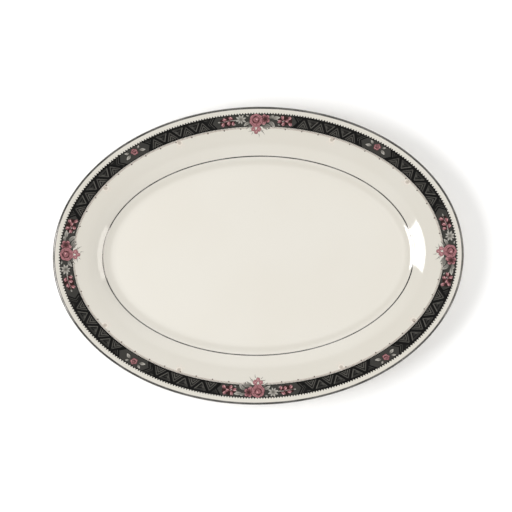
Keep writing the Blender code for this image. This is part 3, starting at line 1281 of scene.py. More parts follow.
@dataclass(frozen=True)
class Lace:
    """The band's edges in millimetres: an outer line with a row of scallops, and an inner line."""

    outer: float = 6.2
    inner: float = 17.0
    line: float = 0.95
    line_top: float = 0.058
    scallop: float = 0.62
    scallop_top: float = 0.048
    slender: float = 1.75
    pitch: float = 2.34

    def draw(self, sheet: PrintSheet, start: float, end: float) -> None:
        """Draws both edge lines between two places along the band."""
        for inset in (self.outer + self.line / 2, self.inner - self.line / 2):
            sheet.stroke([(start, -inset), (end, -inset)], self.line, 0.0, self.line_top)

    def scallops(
        self, trees: Trees, mesh: Mesh, start: float, end: float, look: Material
    ) -> Mesh:
        """Adds the scallops along the outer edge.

        Args:
            trees: the node trees.
            mesh: the flat sheet so far.
            start: the first place, in millimetres.
            end: the last place.
            look: the ink.

        Returns:
            The sheet with the scallops.
        """
        tooth = PrintSheet()
        half, tip = self.scallop, self.scallop * self.slender
        outline = [
            (-half, -0.3),
            (half, -0.3),
            (half * 0.8, tip * 0.6),
            (0.0, tip),
            (-half * 0.8, tip * 0.6),
        ]
        tooth.patch(outline, 0.0, top=self.scallop_top)
        count = int((end - start) / self.pitch) + 1
        return trees.repeat(mesh, tooth.mesh(), look, start, self.outer, self.pitch, count)


@dataclass
class BorderLength(Part):
    """One length of the zigzag border, between two panels. Drawn in millimetres."""

    first: PanelPlace
    second: PanelPlace
    nominal: float = 61.0
    first_peak: float = 5.7
    pitch: float = 15.6
    peaks: int = 4
    top_edge: float = -6.2
    low_edge: float = -17.0
    lap: float = 4.2
    scallop_lap: float = 3.6

    @property
    def start(self) -> float:
        """Where it starts along the band: at the point of the panel before it."""
        return (self.first.center + self.first.length / 2) / MM

    @property
    def end(self) -> float:
        """Where it ends along the band: at the point of the panel after it."""
        around = Band().length if self.second.center < self.first.center else 0.0
        return (self.second.center + around - self.second.length / 2) / MM

    @property
    def stretch(self) -> float:
        """How much longer it is than the drawing."""
        return (self.end - self.start) / self.nominal

    def along(self, x: float) -> float:
        """A place in the drawing, measured along the band."""
        return self.start + x * self.stretch

    def ground(self) -> PrintSheet:
        """The dark ground, under the points of both panels."""
        sheet = PrintSheet()
        middle = (self.top_edge + self.low_edge) / 2
        ends = [(self.start - self.lap, middle), (self.end + self.lap, middle)]
        sheet.stroke(ends, self.top_edge - self.low_edge, 0.12, top=0.028, step=1.6)
        return sheet

    def zigzag(self) -> PrintSheet:
        """One peak's two heavy lines."""
        sheet = PrintSheet()
        half = self.pitch / 2
        for side in (-1, 1):
            path = [(side * (half + 0.1), self.low_edge + 0.3), (side * 0.15, self.top_edge - 0.3)]
            sheet.stroke(path if side < 0 else path[::-1], 1.35, 0.0, top=0.062)
        return sheet

    def peak_chevrons(self) -> PrintSheet:
        """The nested lines inside a peak, and the small pale heart at its foot."""
        sheet = PrintSheet()
        slope = self.pitch / 2 / (self.top_edge - self.low_edge)
        floor = self.low_edge + 1.15
        for drop, width, tone in ((2.9, 0.74, 0.85), (5.6, 0.78, 1.0), (8.2, 0.70, 0.85)):
            tip = self.top_edge - drop
            reach = (tip - floor) * slope
            for side in (-1, 1):
                path = [(side * reach, floor), (0.0, tip)]
                tones = [tone, tone * 0.85]
                sheet.stroke(path if side < 0 else path[::-1], width, tones, top=0.050)
        return sheet

    def valley_chevrons(self) -> PrintSheet:
        """The pale and dark hooks between two peaks."""
        sheet = PrintSheet()
        sheet.patch([(0.0, -14.6), (4.9, -8.1), (-4.9, -8.1)], 0.34, top=0.040)
        sheet.stroke([(-4.7, -8.35), (3.6, -8.35)], 0.55, [0.72, 0.5], top=0.050)
        sheet.stroke([(-4.55, -8.5), (-0.1, -14.5)], 0.62, [0.6, 0.82], top=0.052)
        sheet.stroke([(0.05, -14.7), (4.9, -8.2)], 0.85, [0.9, 1.0], top=0.054)
        sheet.stroke([(-1.4, -10.0), (2.7, -9.55), (-0.1, -13.1)], [0.7, 1.0, 0.75], 0.0, top=0.056)
        fleck = [(-2.8, -10.6), (-1.6, -12.2), (-0.6, -11.1), (-1.5, -9.9), (-3.0, -9.7)]
        sheet.patch(fleck, 0.72, top=0.053)
        return sheet

    def ends(self, lines: PrintSheet, chevrons: PrintSheet) -> None:
        """Draws what is left at both ends, around the points of the panels.

        Args:
            lines: the sheet of heavy lines.
            chevrons: the sheet of pale lines.
        """
        start, end = self.start, self.end
        lines.stroke([(start - 3.9, -6.6), (start + 0.9, -12.2)], 1.25, 0.0, top=0.062)
        lines.stroke([(start - 3.6, -16.6), (start + 0.6, -11.4)], 1.0, 0.0, top=0.060)
        chevrons.stroke([(start - 1.7, -7.7), (start + 1.5, -11.5)], 0.5, [0.55, 0.7], top=0.052)
        chevrons.stroke([(start + 1.5, -11.3), (start + 4.2, -7.9)], 0.5, [0.75, 0.6], top=0.052)
        hook = [(start + 0.1, -7.8), (start + 1.7, -9.7), (start + 3.0, -8.0)]
        chevrons.stroke(hook, 0.42, 0.5, top=0.050)
        for back, width, sheet, tone in (
            (0.3, 1.2, lines, 0.0),
            (1.4, 0.5, chevrons, 0.72),
            (2.3, 0.75, lines, 0.0),
            (3.2, 0.42, chevrons, 0.6),
        ):
            x = end - back
            sheet.stroke([(x + 3.9, -6.8), (x, -11.6)], width, tone, top=0.060)
            low = min(5.0, 5.4 - 1.15 * back)
            sheet.stroke([(x, -11.5), (x + low * 0.78, -11.5 - low)], width, tone, top=0.060)
        last_peak = self.along(self.first_peak + (self.peaks - 1) * self.pitch)
        chevrons.stroke([(last_peak + 2.2, -7.8), (last_peak + 5.0, -7.8)], 0.5, 0.6, top=0.050)

    def row(self, mesh: Mesh, motif: PrintSheet, start: float, count: int, look: Material) -> Mesh:
        """Repeats a motif along this length.

        Args:
            mesh: the flat sheet so far.
            motif: what is repeated.
            start: the first copy's place in the drawing.
            count: how many copies.
            look: the ink.

        Returns:
            The sheet with the copies.
        """
        pitch = self.pitch * self.stretch
        place = self.along(start)
        return self.trees.repeat(
            mesh, motif.mesh(), look, place, 0.0, pitch, count, self.stretch
        )

    def build(self) -> None:
        """Builds its ground, its heavy lines and its pale lines."""
        name = between("border", self.first, self.second)
        inks = (GROUND_INK, LINE_INK, CHEVRON_INK)
        ground_ink, line_ink, chevron_ink = (self.palette.ink(ink) for ink in inks)
        lines, chevrons, lace = PrintSheet(), PrintSheet(), Lace()
        self.ends(lines, chevrons)
        lace.draw(lines, self.start - self.lap, self.end + self.lap)
        peak = self.first_peak
        dark = self.row(lines.mesh(), self.zigzag(), peak, self.peaks, line_ink)
        first, last = self.start - self.scallop_lap, self.end + self.scallop_lap
        dark = lace.scallops(self.trees, dark, first, last, line_ink)
        pale = self.row(chevrons.mesh(), self.peak_chevrons(), peak, self.peaks, chevron_ink)
        valley = peak + self.pitch / 2
        pale = self.row(pale, self.valley_chevrons(), valley, self.peaks - 1, chevron_ink)
        ground = self.trees.wrap(self.ground().mesh(), ground_ink)
        add_piece(f"{name}_ground", ground, [name])
        add_piece(f"{name}_lines", self.trees.wrap(dark, line_ink))
        add_piece(f"{name}_chevrons", self.trees.wrap(pale, chevron_ink))


# The flowers.


@dataclass(frozen=True)
class Whorl:
    """A ring of petals: how many, how far out, how large, and where it starts."""

    count: int
    radius: float
    length: float
    width: float
    tones: tuple[float, float, float]
    turn: float = 0.0
    lift: float = 0.0
    step: float = 0.012
    edge: float = 0.08
    fullness: float = 1.9
    unevenness: float = 0.10


@dataclass
class MotifSheet:
    """The flowers and leaves that the sprays are laid out from, in a collection of their own."""

    trees: Trees
    ink: Material

    def __post_init__(self) -> None:
        """Draws every motif."""
        self.collection = bpy.data.collections.new("print_motifs")
        drawings = {
            Motif.ROSE: self.rose(),
            Motif.SIDE_BLOOM: self.side_bloom(),
            Motif.SMALL_BLOOM: self.small_bloom(),
            Motif.BUD: self.bud(),
            Motif.PETAL: self.single(3.6, 2.6, (0.35, 0.78, 0.95), 1.4),
            Motif.SMALL_ROSE: self.small_rose(),
            Motif.DAISY: self.daisy(),
            Motif.LEAF: self.leaf(5.6, 2.5),
            Motif.ROUND_LEAF: self.leaf(4.4, 2.2),
            Motif.FROND: self.frond(7.6, 2.4),
        }
        for motif, mesh in drawings.items():
            name = f"motif_{motif.value:02d}_{motif.name.lower()}"
            self.collection.objects.link(hidden_object(name, mesh))

    def flower(self, heart: PrintSheet, whorls: Iterable[Whorl]) -> Mesh:
        """Adds rings of petals around a flower's heart.

        Args:
            heart: the flower's middle.
            whorls: its rings of petals.

        Returns:
            The flower's mesh.
        """
        mesh = heart.mesh()
        for seed, whorl in enumerate(whorls):
            petal = PrintSheet()
            long, wide, full = whorl.length, whorl.width, whorl.fullness
            rim = (whorl.edge,) * 3
            petal.petal(long + 0.45, wide + 0.55, rim, full, at=(-0.2, 0), top=0.044)
            petal.petal(long, wide, whorl.tones, full, top=0.05, dome=0.006)
            mesh = self.trees.petal_ring.run(
                mesh,
                Petal=hidden_object("petal", petal.mesh()),
                Count=whorl.count,
                Radius=whorl.radius * MM,
                Size=1.0,
                Turn=whorl.turn,
                Lift=whorl.lift * MM,
                Step=whorl.step * MM,
                Unevenness=whorl.unevenness,
                Seed=seed + 3,
                Material=self.ink,
            )
        return mesh

    def rose(self) -> Mesh:
        """The large rose: full petals around a dark ring, with a paler heart set outwards."""
        heart, (x, y) = PrintSheet(), (0.0, 0.95)
        heart.disc(0, 0, 5.0, 0.42, 0.42, top=0.040)
        heart.disc(x, y, 3.0, 0.45, 0.62, top=0.205, dome=0.01)
        turns = np.linspace(0.4, 2 * math.pi + 0.4, 22)
        ring = [(x + 3.0 * math.cos(a), y + 2.5 * math.sin(a)) for a in turns]
        widths = [0.4, 1.15, 0.55, 1.0, 0.3, 1.0, 0.4]
        heart.stroke(ring, widths, [0.2, 0.0, 0.2, 0.0, 0.25, 0.0, 0.2], top=0.225, step=1.0)
        ways = np.linspace(0.25, 1, 12)
        curl = [(x + 1.5 * t * math.cos(7 * t), y + 1.3 * t * math.sin(7 * t)) for t in ways]
        heart.stroke(curl, [0.3, 0.5, 0.35], [0.35, 0.15, 0.3], top=0.232, step=1.0)
        heart.disc(x + 0.8, y - 0.1, 0.75, 0.9, 1.0, top=0.240)
        outer = Whorl(
            7, 1.5, 4.25, 4.7, (0.30, 0.56, 0.80), 0.3, edge=0.22, fullness=2.3, unevenness=0.07
        )
        inner = Whorl(6, 1.3, 3.1, 3.9, (0.25, 0.60, 0.84), 0.8, 0.085, edge=0.25, fullness=2.3)
        return self.flower(heart, (outer, inner))

    def side_bloom(self) -> Mesh:
        """The darker open flower beside the rose."""
        heart = PrintSheet()
        heart.disc(0, 0, 1.65, 0.12, 0.0, top=0.190)
        for angle in np.linspace(0, 2 * math.pi, 7)[:-1]:
            heart.disc(0.95 * math.cos(angle), 0.95 * math.sin(angle), 0.2, 0.35, 0.5, top=0.205)
        outer = Whorl(5, 1.0, 2.9, 3.0, (0.15, 0.52, 0.92), 0.5, edge=0.0, fullness=1.7)
        inner = Whorl(5, 0.7, 1.9, 1.9, (0.05, 0.34, 0.66), 1.1, 0.07, edge=0.0)
        return self.flower(heart, (outer, inner))

    def small_bloom(self) -> Mesh:
        """A small blossom of the inner cluster: pale petals with dark edges around a pale heart."""
        heart = PrintSheet()
        heart.disc(0, 0, 1.4, 0.25, 0.25, top=0.040)
        heart.disc(-0.1, 0.1, 0.62, 0.85, 1.0, top=0.115)
        petals = Whorl(
            5, 0.35, 1.7, 1.6, (0.85, 0.72, 0.66), 0.4, edge=0.30, fullness=1.7, unevenness=0.14
        )
        return self.flower(heart, (petals,))

    def bud(self) -> Mesh:
        """A bud of folded petals with a dark outline, in its darker cup, pointing along X."""
        sheet = PrintSheet()
        sheet.petal(5.0, 3.3, (0.05, 0.12, 0.20), 1.1, at=(-2.5, 0.0), top=0.050)
        for length, width, tones, fullness, at, turn, top, dome in (
            (4.2, 2.1, (0.30, 0.58, 0.84), 1.25, (-2.0, 0.15), 0.10, 0.060, 0.02),
            (3.4, 1.0, (0.70, 0.95, 1.0), 1.15, (-1.5, -0.45), -0.14, 0.078, 0.01),
        ):
            sheet.petal(length, width, tones, fullness, at, turn, top=top, dome=dome)
        fold = [(-2.0, 0.75), (0.2, 0.85), (1.5, 0.4)]
        sheet.stroke(fold, [0.3, 0.36, 0.2], 0.06, top=0.085, step=0.8)
        return sheet.mesh()

    def single(
        self, length: float, width: float, tones: tuple[float, float, float], fullness: float
    ) -> Mesh:
        """One loose petal, centred on its place."""
        sheet = PrintSheet()
        sheet.petal(length, width, tones, fullness, at=(-length / 2, 0.0), top=0.055, dome=0.03)
        return sheet.mesh()

    def small_rose(self) -> Mesh:
        """The diagonal panels' small rose: a pale five-sided outline around a deep pink heart."""
        heart = PrintSheet()
        heart.disc(0, 0, 2.2, 0.20, 0.30, top=0.115)
        ring = []
        for angle in np.linspace(0, 2 * math.pi, 21):
            swell = 1 + 0.08 * math.cos(5 * angle)
            ring.append((1.95 * math.cos(angle) * swell, 1.95 * math.sin(angle) * swell))
        heart.stroke(ring, [0.52, 0.36, 0.52, 0.40], [0.88, 0.6, 0.88, 0.66], top=0.130, step=1.0)
        heart.disc(0.05, 0.05, 1.05, 0.62, 0.45, top=0.125)
        ways = np.linspace(0.2, 1, 9)
        curl = [(0.85 * t * math.cos(6 * t), 0.85 * t * math.sin(6 * t)) for t in ways]
        heart.stroke(curl, 0.42, [0.02, 0.1], top=0.145, step=0.6)
        petals = Whorl(
            5, 1.1, 1.75, 2.3, (0.22, 0.40, 0.62), 0.35, edge=0.12, fullness=2.2, unevenness=0.05
        )
        return self.flower(heart, (petals,))

    def daisy(self) -> Mesh:
        """The pale flower with eight pointed petals."""
        heart = PrintSheet()
        heart.disc(0, 0, 0.95, 0.35, 0.55, top=0.10)
        heart.disc(0.05, 0, 0.4, 0.1, 0.1, top=0.12)
        petals = Whorl(
            8, 0.75, 3.7, 1.75, (0.45, 0.80, 0.92), 0.2, 0, 0, 0, fullness=0.9, unevenness=0.14
        )
        return self.flower(heart, (petals,))

    def frond(self, length: float, width: float) -> Mesh:
        """A grey feathery frond, from its stalk at its place along X."""
        sheet = PrintSheet()
        sheet.petal(length, width, (0.25, 0.52, 0.82), 0.8, top=0.045, dome=0.01)
        for share in np.linspace(0.12, 0.8, 6):
            spread = width * 0.42 * math.sin(math.pi * share**0.8)
            for side in (-1, 1):
                root, tip = (length * share, 0.0), (length * (share + 0.13), side * spread)
                sheet.stroke([root, tip], [0.22, 0.14], [0.2, 0.45], top=0.070)
        return sheet.mesh()

    def leaf(self, length: float, width: float) -> Mesh:
        """A leaf with a darker rib, from its stalk at its place along X."""
        sheet = PrintSheet()
        sheet.petal(length + 0.5, width + 0.6, (0.0, 0.0, 0.0), 0.95, at=(-0.2, 0.0), top=0.042)
        sheet.petal(length, width, (0.50, 0.62, 1.0), 0.95, top=0.05, dome=0.02)
        rib = [(0.2, 0.0), (length * 0.5, 0.10), (length * 0.86, 0.0)]
        sheet.stroke(rib, [0.34, 0.14], [0.15, 0.6], top=0.092)
        return sheet.mesh()


@dataclass
class Spray:
    """A spray in the making: flowers or leaves set by kind, and strokes drawn between them.

    Places are in millimetres from the main flower's middle, clockwise and then outwards from the
    rim's edge, so a place's second number is minus its inset.
    """

    origin: float
    spots: list[tuple[float, float]] = field(default_factory=list)
    kinds: list[int] = field(default_factory=list)
    turns: list[float] = field(default_factory=list)
    sizes: list[float] = field(default_factory=list)
    drawn: PrintSheet = field(default_factory=PrintSheet)

    def put(self, motif: Motif, x: float, y: float, turn: float = 0.0, size: float = 1.0) -> None:
        """Sets one motif.

        Args:
            motif: which.
            x: its place along the band from the main flower.
            y: minus its inset.
            turn: its direction in degrees, anticlockwise from clockwise along the band.
            size: its size.
        """
        self.spots.append((x, y))
        self.kinds.append(motif.value)
        self.turns.append(math.radians(turn))
        self.sizes.append(size)

    def blade(
        self, start: Point, bend: Point, end: Point, width: float, tones: Sequence[float]
    ) -> None:
        """Draws a curved blade that tapers to its end.

        Args:
            start: where it starts.
            bend: the point it bends towards.
            end: where it ends.
            width: its width at its start.
            tones: its tones along the way.
        """
        path = []
        for t in np.linspace(0, 1, 6):
            x, y = (
                (1 - t) ** 2 * a + 2 * t * (1 - t) * b + t**2 * c
                for a, b, c in zip(start, bend, end)
            )
            path.append((self.origin + x, y))
        self.drawn.stroke(path, [width, width * 0.9, width * 0.25], tones, top=0.048)

    def build(self, trees: Trees, motifs: MotifSheet, ink: Material) -> Mesh:
        """Sets the motifs, adds the strokes and lays all of it on the rim.

        Args:
            trees: the node trees.
            motifs: the motif sheet.
            ink: the ink.

        Returns:
            The spray's mesh, in place.
        """
        points = line_mesh([((self.origin + x) * MM, y * MM, 0.0) for x, y in self.spots])
        for name, kind, values in (
            ("kind", "INT", self.kinds),
            ("turn", "FLOAT", self.turns),
            ("size", "FLOAT", self.sizes),
        ):
            points.attributes.new(name, kind, "POINT").data.foreach_set("value", values)
        laid = trees.motif_layout.run(points, Motifs=motifs.collection, Material=ink)
        if not self.drawn.points:
            return trees.wrap(laid, ink)
        return trees.wrap(trees.repeat(self.drawn.mesh(), laid, ink), ink)


def panel_ground(place: PanelPlace, trees: Trees, ink: Material) -> Mesh:
    """The dark ground of a panel, pointed at both ends, with its edge lines.

    Args:
        place: the panel's place.
        trees: the node trees.
        ink: the ground's ink.

    Returns:
        The ground's mesh, in place.
    """
    sheet, lace, band = PrintSheet(), Lace(), Band()
    half, point = place.length / 2 / MM, band.point / MM
    middle, center = -band.middle / MM, place.center / MM
    deep = lace.inner - lace.outer
    columns = int(2 * half)
    xs = np.linspace(-half, half, columns + 1)
    widths = [max(0.1, deep * min(1.0, (half - abs(x)) / point)) for x in xs]
    sheet.stroke([(center + x, middle) for x in xs], widths, 0.72, top=0.036)
    edge = half - point - 0.2
    for inset, width in ((lace.outer + 0.33, 0.66), (lace.inner - 0.3, 0.6)):
        sheet.stroke([(center - edge, -inset), (center + edge, -inset)], width, 0.08, top=0.050)
    mesh = lace.scallops(trees, sheet.mesh(), center - edge, center + edge, ink)
    return trees.wrap(mesh, ink)


@dataclass
class Panel(Part):
    """A panel in the border, with its flowers and its leaves as a spray each."""

    motifs: MotifSheet
    place: PanelPlace

    def layers(self, kind: str, flowers: tuple[str, Spray], leaves: tuple[str, Spray]) -> None:
        """Adds the panel's ground and both sprays.

        Args:
            kind: the panel's kind, which its pieces are named by.
            flowers: the name and the spray of its flowers.
            leaves: the name and the spray of its leaves.
        """
        name = f"{kind}_{self.place.name}"
        ground = panel_ground(self.place, self.trees, self.palette.ink(GROUND_INK))
        add_piece(f"{name}_ground", ground)
        for (label, spray), finish, stands_for in (
            (flowers, ROSE_INK, [name]),
            (leaves, LEAF_INK, ()),
        ):
            mesh = spray.build(self.trees, self.motifs, self.palette.ink(finish))
            add_piece(f"{name}_{label}", mesh, stands_for)


@dataclass
class RosePanel(Panel):
    """A panel at the end of an axis: the rose and its flowers, buds, leaves and inner cluster."""

    def flowers(self) -> Spray:
        """The pink flowers and buds."""
        spray = Spray(self.place.middle)
        spray.put(Motif.ROSE, 0.2, -12.0, 20, 0.98)
        spray.put(Motif.SIDE_BLOOM, 8.1, -10.6, 10)
        spray.put(Motif.PETAL, 6.4, -14.2, -50, 0.95)
        for x, y, turn, size in (
            (21.0, -12.2, 195, 0.95),
            (23.0, -9.3, 100, 0.95),
            (24.4, -14.0, 235, 0.95),
            (26.6, -11.4, 5, 0.85),
            (28.8, -9.2, 42, 0.95),
            (30.0, -13.7, -38, 1.0),
            (-20.3, -13.3, 258, 0.92),
            (-21.6, -9.0, 145, 0.95),
            (-23.9, -12.5, 240, 1.0),
            (-27.0, -9.6, 165, 0.95),
            (-29.1, -13.3, 235, 1.0),
        ):
            spray.put(Motif.BUD, x, y, turn, size * 0.96)
        for way in ((19.0, 24.5, 31.6), (-18.6, -24.5, -31.4)):
            shade = [(spray.origin + x, -11.4) for x in way]
            spray.drawn.stroke(shade, [3.5, 9.0, 4.0], 0.0, top=0.040)
        for way in (
            ((19.6, -11.4), (23.0, -12.2), (24.6, -13.4)),
            ((23.0, -9.8), (24.5, -12.0), (27.4, -11.3)),
            ((27.4, -11.3), (28.6, -11.2), (29.2, -9.6)),
            ((27.0, -11.6), (29.0, -12.2), (30.2, -13.4)),
            ((-19.0, -11.0), (-20.6, -11.4), (-20.4, -12.6)),
            ((-21.8, -9.4), (-23.2, -10.6), (-24.0, -11.8)),
            ((-24.0, -12.0), (-26.0, -11.4), (-27.2, -10.0)),
            ((-26.4, -11.0), (-28.6, -11.8), (-29.2, -12.8)),
        ):
            spray.blade(*way, 0.6, (0.55, 0.75, 0.6))
        for x, y, turn, size in (
            (-2.7, -19.2, 200, 0.85),
            (2.6, -19.3, -30, 0.95),
            (-0.1, -21.6, -90, 0.85),
        ):
            spray.put(Motif.SMALL_BLOOM, x, y, turn, size)
        return spray

    def foliage(self) -> Spray:
        """The pale leaves, the daisy, the stems and the needles."""
        spray = Spray(self.place.middle)
        for motif, x, y, turn, size in (
            (Motif.DAISY, -13.2, -10.6, 0, 0.95),
            (Motif.FROND, 10.6, -9.4, 8, 0.8),
            (Motif.FROND, 10.4, -12.4, -32, 0.95),
            (Motif.LEAF, 14.2, -10.0, 10, 1.2),
            (Motif.LEAF, 12.9, -12.4, -52, 1.15),
            (Motif.ROUND_LEAF, 14.8, -14.8, -75, 0.62),
            (Motif.FROND, -4.6, -13.6, 196, 0.8),
            (Motif.LEAF, -6.4, -12.9, 214, 1.0),
            (Motif.ROUND_LEAF, 12.7, -8.2, 10, 0.62),
            (Motif.ROUND_LEAF, -5.8, -8.1, 160, 0.62),
            (Motif.ROUND_LEAF, -31.0, -11.1, 178, 0.55),
            (Motif.ROUND_LEAF, -18.0, -14.3, 190, 0.5),
            (Motif.ROUND_LEAF, 19.3, -14.5, -30, 0.5),
        ):
            spray.put(motif, x, y, turn, size)
        for way in (
            ((15.8, -9.6), (18.2, -10.2), (19.8, -12.0)),
            ((18.5, -11.2), (23.0, -12.4), (28.6, -11.4)),
            ((21.8, -11.9), (22.6, -11.4), (23.0, -10.6)),
            ((22.8, -12.0), (23.8, -12.2), (24.4, -13.0)),
            ((25.4, -12.0), (27.0, -12.2), (28.6, -13.0)),
            ((-16.6, -11.0), (-22.0, -10.4), (-31.2, -11.4)),
            ((-18.2, -10.9), (-19.8, -11.2), (-20.2, -12.4)),
            ((-21.5, -10.7), (-23.2, -10.9), (-23.6, -11.6)),
            ((-26.0, -11.0), (-28.0, -11.4), (-28.6, -12.4)),
        ):
            spray.blade(*way, 0.55, (0.85, 0.7, 0.6))
        for x, y, turn, size in (
            (5.6, -15.3, -22, 1.05),
            (5.2, -15.8, -38, 0.9),
            (7.4, -15.5, -12, 0.95),
            (-4.4, -15.6, 214, 0.72),
        ):
            spray.put(Motif.FROND, x, y, turn, size)
        for way, width in (
            (((-4.4, -16.2), (-7.4, -17.4), (-9.2, -19.4)), 0.7),
            (((-3.9, -16.8), (-5.6, -18.2), (-6.2, -19.8)), 0.5),
            (((-4.2, -20.9), (-5.8, -20.5), (-7.4, -21.3)), 0.6),
            (((-3.0, -22.2), (-4.2, -23.0), (-4.6, -24.2)), 0.5),
            (((4.5, -16.1), (6.3, -17.2), (6.8, -19.4)), 0.65),
            (((7.6, -16.4), (10.8, -16.9), (13.3, -19.0)), 0.7),
            (((4.9, -20.9), (6.9, -21.8), (8.1, -24.3)), 0.65),
            (((4.4, -20.1), (6.2, -20.3), (7.6, -21.2)), 0.5),
            (((2.3, -23.3), (3.2, -25.0), (2.6, -26.4)), 0.55),
            (((6.4, -15.9), (10.0, -15.6), (13.6, -17.0)), 0.5),
        ):
            spray.blade(*way, width, (0.30, 0.5, 0.8))
        spray.drawn.disc(spray.origin + 0.3, -20.9, 0.55, 0.9, 1.0, top=0.06)
        return spray

    def build(self) -> None:
        """Builds the panel's ground, flowers and foliage."""
        self.layers("rose_panel", ("flowers", self.flowers()), ("foliage", self.foliage()))


@dataclass
class BudPanel(Panel):
    """A panel on a diagonal: a small rose and four leaves."""

    def build(self) -> None:
        """Builds the panel's ground, its rose and its leaves."""
        flower, leaves = Spray(self.place.middle), Spray(self.place.middle)
        flower.put(Motif.SMALL_ROSE, 0.0, -10.7, 0)
        for x, y, turn, size in (
            (-4.6, -9.7, 148, 0.85),
            (-4.7, -11.6, 197, 1.18),
            (4.2, -9.5, 38, 0.68),
            (4.5, -11.3, -24, 1.15),
        ):
            leaves.put(Motif.ROUND_LEAF, x, y, turn, size)
        self.layers("bud_panel", ("rose", flower), ("leaves", leaves))


@dataclass
class Sprig(Part):
    """A faint loose sprig on the bare rim: a soft dot, a pale ring and a fan of hair lines."""

    bud: PanelPlace
    rose: PanelPlace
    direction: int
    inset: float = 19.8
    spread_along: float = 38.7
    spread_at_ends: float = 42.5

    def build(self) -> None:
        """Builds the sprig."""
        sheet = PrintSheet()
        spread = self.spread_at_ends if self.rose.name in ("left", "right") else self.spread_along
        x = self.bud.middle + self.direction * spread
        y = -self.inset
        sheet.disc(x, y, 3.0, 1.0, 0.9, top=0.022)
        sheet.disc(x, y, 1.85, 0.45, 0.0, top=0.034)
        for angle in np.radians((-150, -128, -104, -82, -58, -34)):
            far = 5.2 + 0.6 * math.sin(5 * angle)
            start, end = ((x + r * math.cos(angle), y + r * math.sin(angle)) for r in (2.3, far))
            sheet.stroke([start, end], [0.5, 0.28], [0.72, 0.86], top=0.030)
        for angle in np.radians((-140, -92, -48)):
            spot = (x + 4.6 * math.cos(angle), y + 4.6 * math.sin(angle))
            sheet.disc(*spot, 0.55, 0.9, 0.78, top=0.032)
        ink = self.palette.ink(SPRIG_INK)
        name = between("sprig", self.bud, self.rose)
        add_piece(f"{name}_print", self.trees.wrap(sheet.mesh(), ink), [name])


@dataclass
class BeadLine(Part):
    """The fine row of slanted beads inside the border, from one rose's cluster to the next."""

    bud: PanelPlace
    inset: float = 17.75
    pitch: float = 1.24
    dot_pitch: float = 15.2
    clear_of_rose: float = 8.6

    def build(self) -> None:
        """Builds the row around one diagonal panel."""
        bead = PrintSheet()
        bead.stroke([(-0.46, -0.80), (0.46, 0.66)], [0.3, 0.5, 0.55], [0.6, 0.2, 0.0], top=0.036)
        hair = PrintSheet()
        roses = [PLACES[(self.bud.eighth + way) % 8] for way in (-1, 1)]
        around = Band().length / MM
        start = roses[0].middle + self.clear_of_rose
        end = roses[1].middle - self.clear_of_rose
        if end < start:
            end += around
        hair.stroke([(start, -self.inset - 0.7), (end, -self.inset - 0.7)], 0.22, 0.8, top=0.028)
        for x in np.arange(start + 3.0, end, self.dot_pitch):
            hair.disc(x, -self.inset - 0.9, 0.62, 0.1, 0.0, top=0.045)
        ink = self.palette.ink(BEAD_INK)
        count = int((end - start) / self.pitch) + 1
        mesh = self.trees.repeat(
            hair.mesh(), bead.mesh(), ink, start, self.inset, self.pitch, count
        )
        add_piece(f"bead_line_{self.bud.name}", self.trees.wrap(mesh, ink))


# The studio.


@dataclass(frozen=True)
class Softbox:
    """A soft light, placed by its compass direction and its tilt from straight up."""

    name: str
    azimuth: float
    tilt: float
    distance: float
    width: float
    height: float
    radiance: float
    color: Color = (1.0, 1.0, 1.0)

    def build(self) -> None:
        """Builds the light, facing the platter."""
        light = bpy.data.lights.new(self.name, "AREA")
        light.shape = "RECTANGLE"
        light.size, light.size_y = self.width, self.height
        light.energy = 4 * self.radiance * self.width * self.height
        light.color = self.color
        made = bpy.data.objects.new(self.name, light)
        azimuth, tilt = math.radians(self.azimuth), math.radians(self.tilt)
        made.rotation_euler = (tilt, 0.0, azimuth + math.pi / 2)
        out, up = math.sin(tilt), math.cos(tilt)
        way = (out * math.cos(azimuth), out * math.sin(azimuth), up)
        made.location = [self.distance * part for part in way]
        made.visible_camera = False
        bpy.context.scene.collection.objects.link(made)


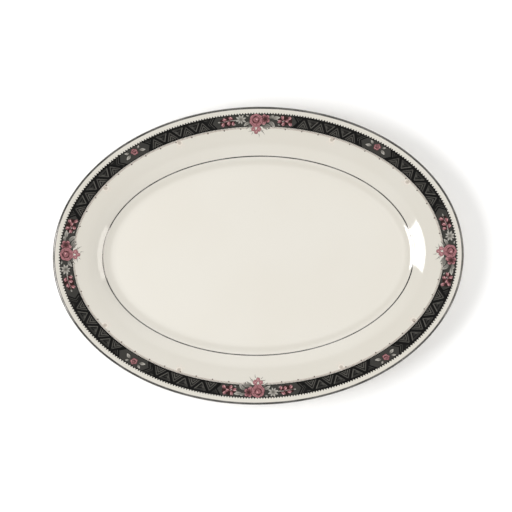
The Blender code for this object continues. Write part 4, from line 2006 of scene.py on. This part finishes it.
@dataclass
class Studio:
    """The pale floor, the soft lights and the camera straight overhead."""

    floor_size: float = 6.0
    floor_color: Color = (0.985, 0.985, 0.985)
    annulus: float = 0.20
    zenith: float = 1.25
    walls: float = 1.15
    walls_bias: float = 0.2
    walls_ends: float = 0.2
    walls_sides: float = 1.3
    horizon: float = 0.25
    seen: float = 0.9
    camera_height: float = 1.3259
    camera_shift: Point = (-2.0 * MM, -0.2 * MM)
    camera_turn: float = -0.0166
    lens: float = 104.5
    lights: tuple[Softbox, ...] = (
        Softbox("key_softbox", 186.1, 45.8, 1.6, 0.86, 0.54, 8.3),
        Softbox("fill_card", 355.3, 57.0, 1.3, 0.96, 0.43, 2.4, (1.0, 0.97, 0.92)),
    )

    def floor(self) -> None:
        """Builds the floor under the foot."""
        half = self.floor_size / 2
        mesh = bpy.data.meshes.new("floor")
        corners = [(-half, -half, 0), (half, -half, 0), (half, half, 0), (-half, half, 0)]
        mesh.from_pydata(corners, [], [(0, 1, 2, 3)])
        made = bpy.data.objects.new("floor", mesh)
        look, sheet, shader = new_material("floor_paper", Roughness=0.9)
        tint = sheet.between(sheet.noise(0.6, 2.0), 0.3, 0.7)
        color = sheet.mix(tint, self.floor_color, tuple(0.99 * part for part in self.floor_color))
        sheet.feed(shader.inputs["Base Color"], color)
        mesh.materials.append(look)
        bpy.context.scene.collection.objects.link(made)

    def world(self) -> None:
        """Sets the room: a bright ceiling, a dim ring round it, pale walls and a dim low horizon.

        The camera itself sees the room as plain and pale.
        """
        world = bpy.data.worlds.new("surround")
        world.use_nodes = True
        sheet = ShaderSheet(world.node_tree)
        background = world.node_tree.nodes["Background"]
        _, back, up = sheet.split(sheet.node("ShaderNodeTexCoord").outputs["Generated"])
        ceiling = sheet.between(up, 0.90, 0.985, self.annulus, self.annulus + self.zenith)
        walls = sheet.between(up, 0.80, 0.70, 0.0, self.walls)
        bias = sheet.math("MULTIPLY_ADD", back, self.walls_bias, 1.0)
        walls = sheet.math("MULTIPLY", walls, bias)
        square = sheet.math("MULTIPLY", back, back)
        broadside = sheet.math("MULTIPLY_ADD", square, self.walls_sides, self.walls_ends)
        walls = sheet.math("MULTIPLY", walls, broadside)
        walls = sheet.math("MULTIPLY", walls, sheet.between(up, 0.24, 0.36, self.horizon, 1.0))
        light = sheet.math("ADD", ceiling, walls)
        path = sheet.node("ShaderNodeLightPath").outputs["Is Camera Ray"]
        seen = sheet.math("MULTIPLY", path, sheet.math("SUBTRACT", self.seen, light))
        sheet.feed(background.inputs["Strength"], sheet.math("ADD", light, seen))
        background.inputs["Color"].default_value = (1.0, 1.0, 1.0, 1.0)
        bpy.context.scene.world = world

    def camera(self) -> None:
        """Sets the camera."""
        lens = bpy.data.cameras.new("camera")
        lens.lens, lens.sensor_width = self.lens, 36.0
        lens.clip_start, lens.clip_end = 0.01, 50.0
        made = bpy.data.objects.new("camera", lens)
        made.location = (*self.camera_shift, self.camera_height)
        made.rotation_euler = (0.0, 0.0, self.camera_turn)
        bpy.context.scene.collection.objects.link(made)
        bpy.context.scene.camera = made

    def build(self) -> None:
        """Builds the whole studio."""
        self.floor()
        self.world()
        self.camera()
        for light in self.lights:
            light.build()
        bpy.context.scene.view_settings.view_transform = "Standard"
        LOG.info("studio: %d lights", len(self.lights))


def main() -> None:
    """Builds the studio and every piece of the platter, in order."""
    logging.basicConfig(level=logging.INFO, format="%(name)s %(message)s")
    Studio().build()
    palette, trees = Palette(), Trees(Section())
    ChinaBody(trees, palette).build()
    PlatinumLines(trees, palette).build()
    motifs = MotifSheet(trees, palette.ink(ROSE_INK))
    for place, after in zip(PLACES, PLACES[1:] + PLACES[:1]):
        BorderLength(trees, palette, place, after).build()
        panel = BudPanel if place.is_bud else RosePanel
        panel(trees, palette, motifs, place).build()
        if place.is_bud:
            BeadLine(trees, palette, place).build()
            for way in (-1, 1):
                Sprig(trees, palette, place, PLACES[(place.eighth + way) % 8], way).build()


if __name__ == "__main__":
    main()
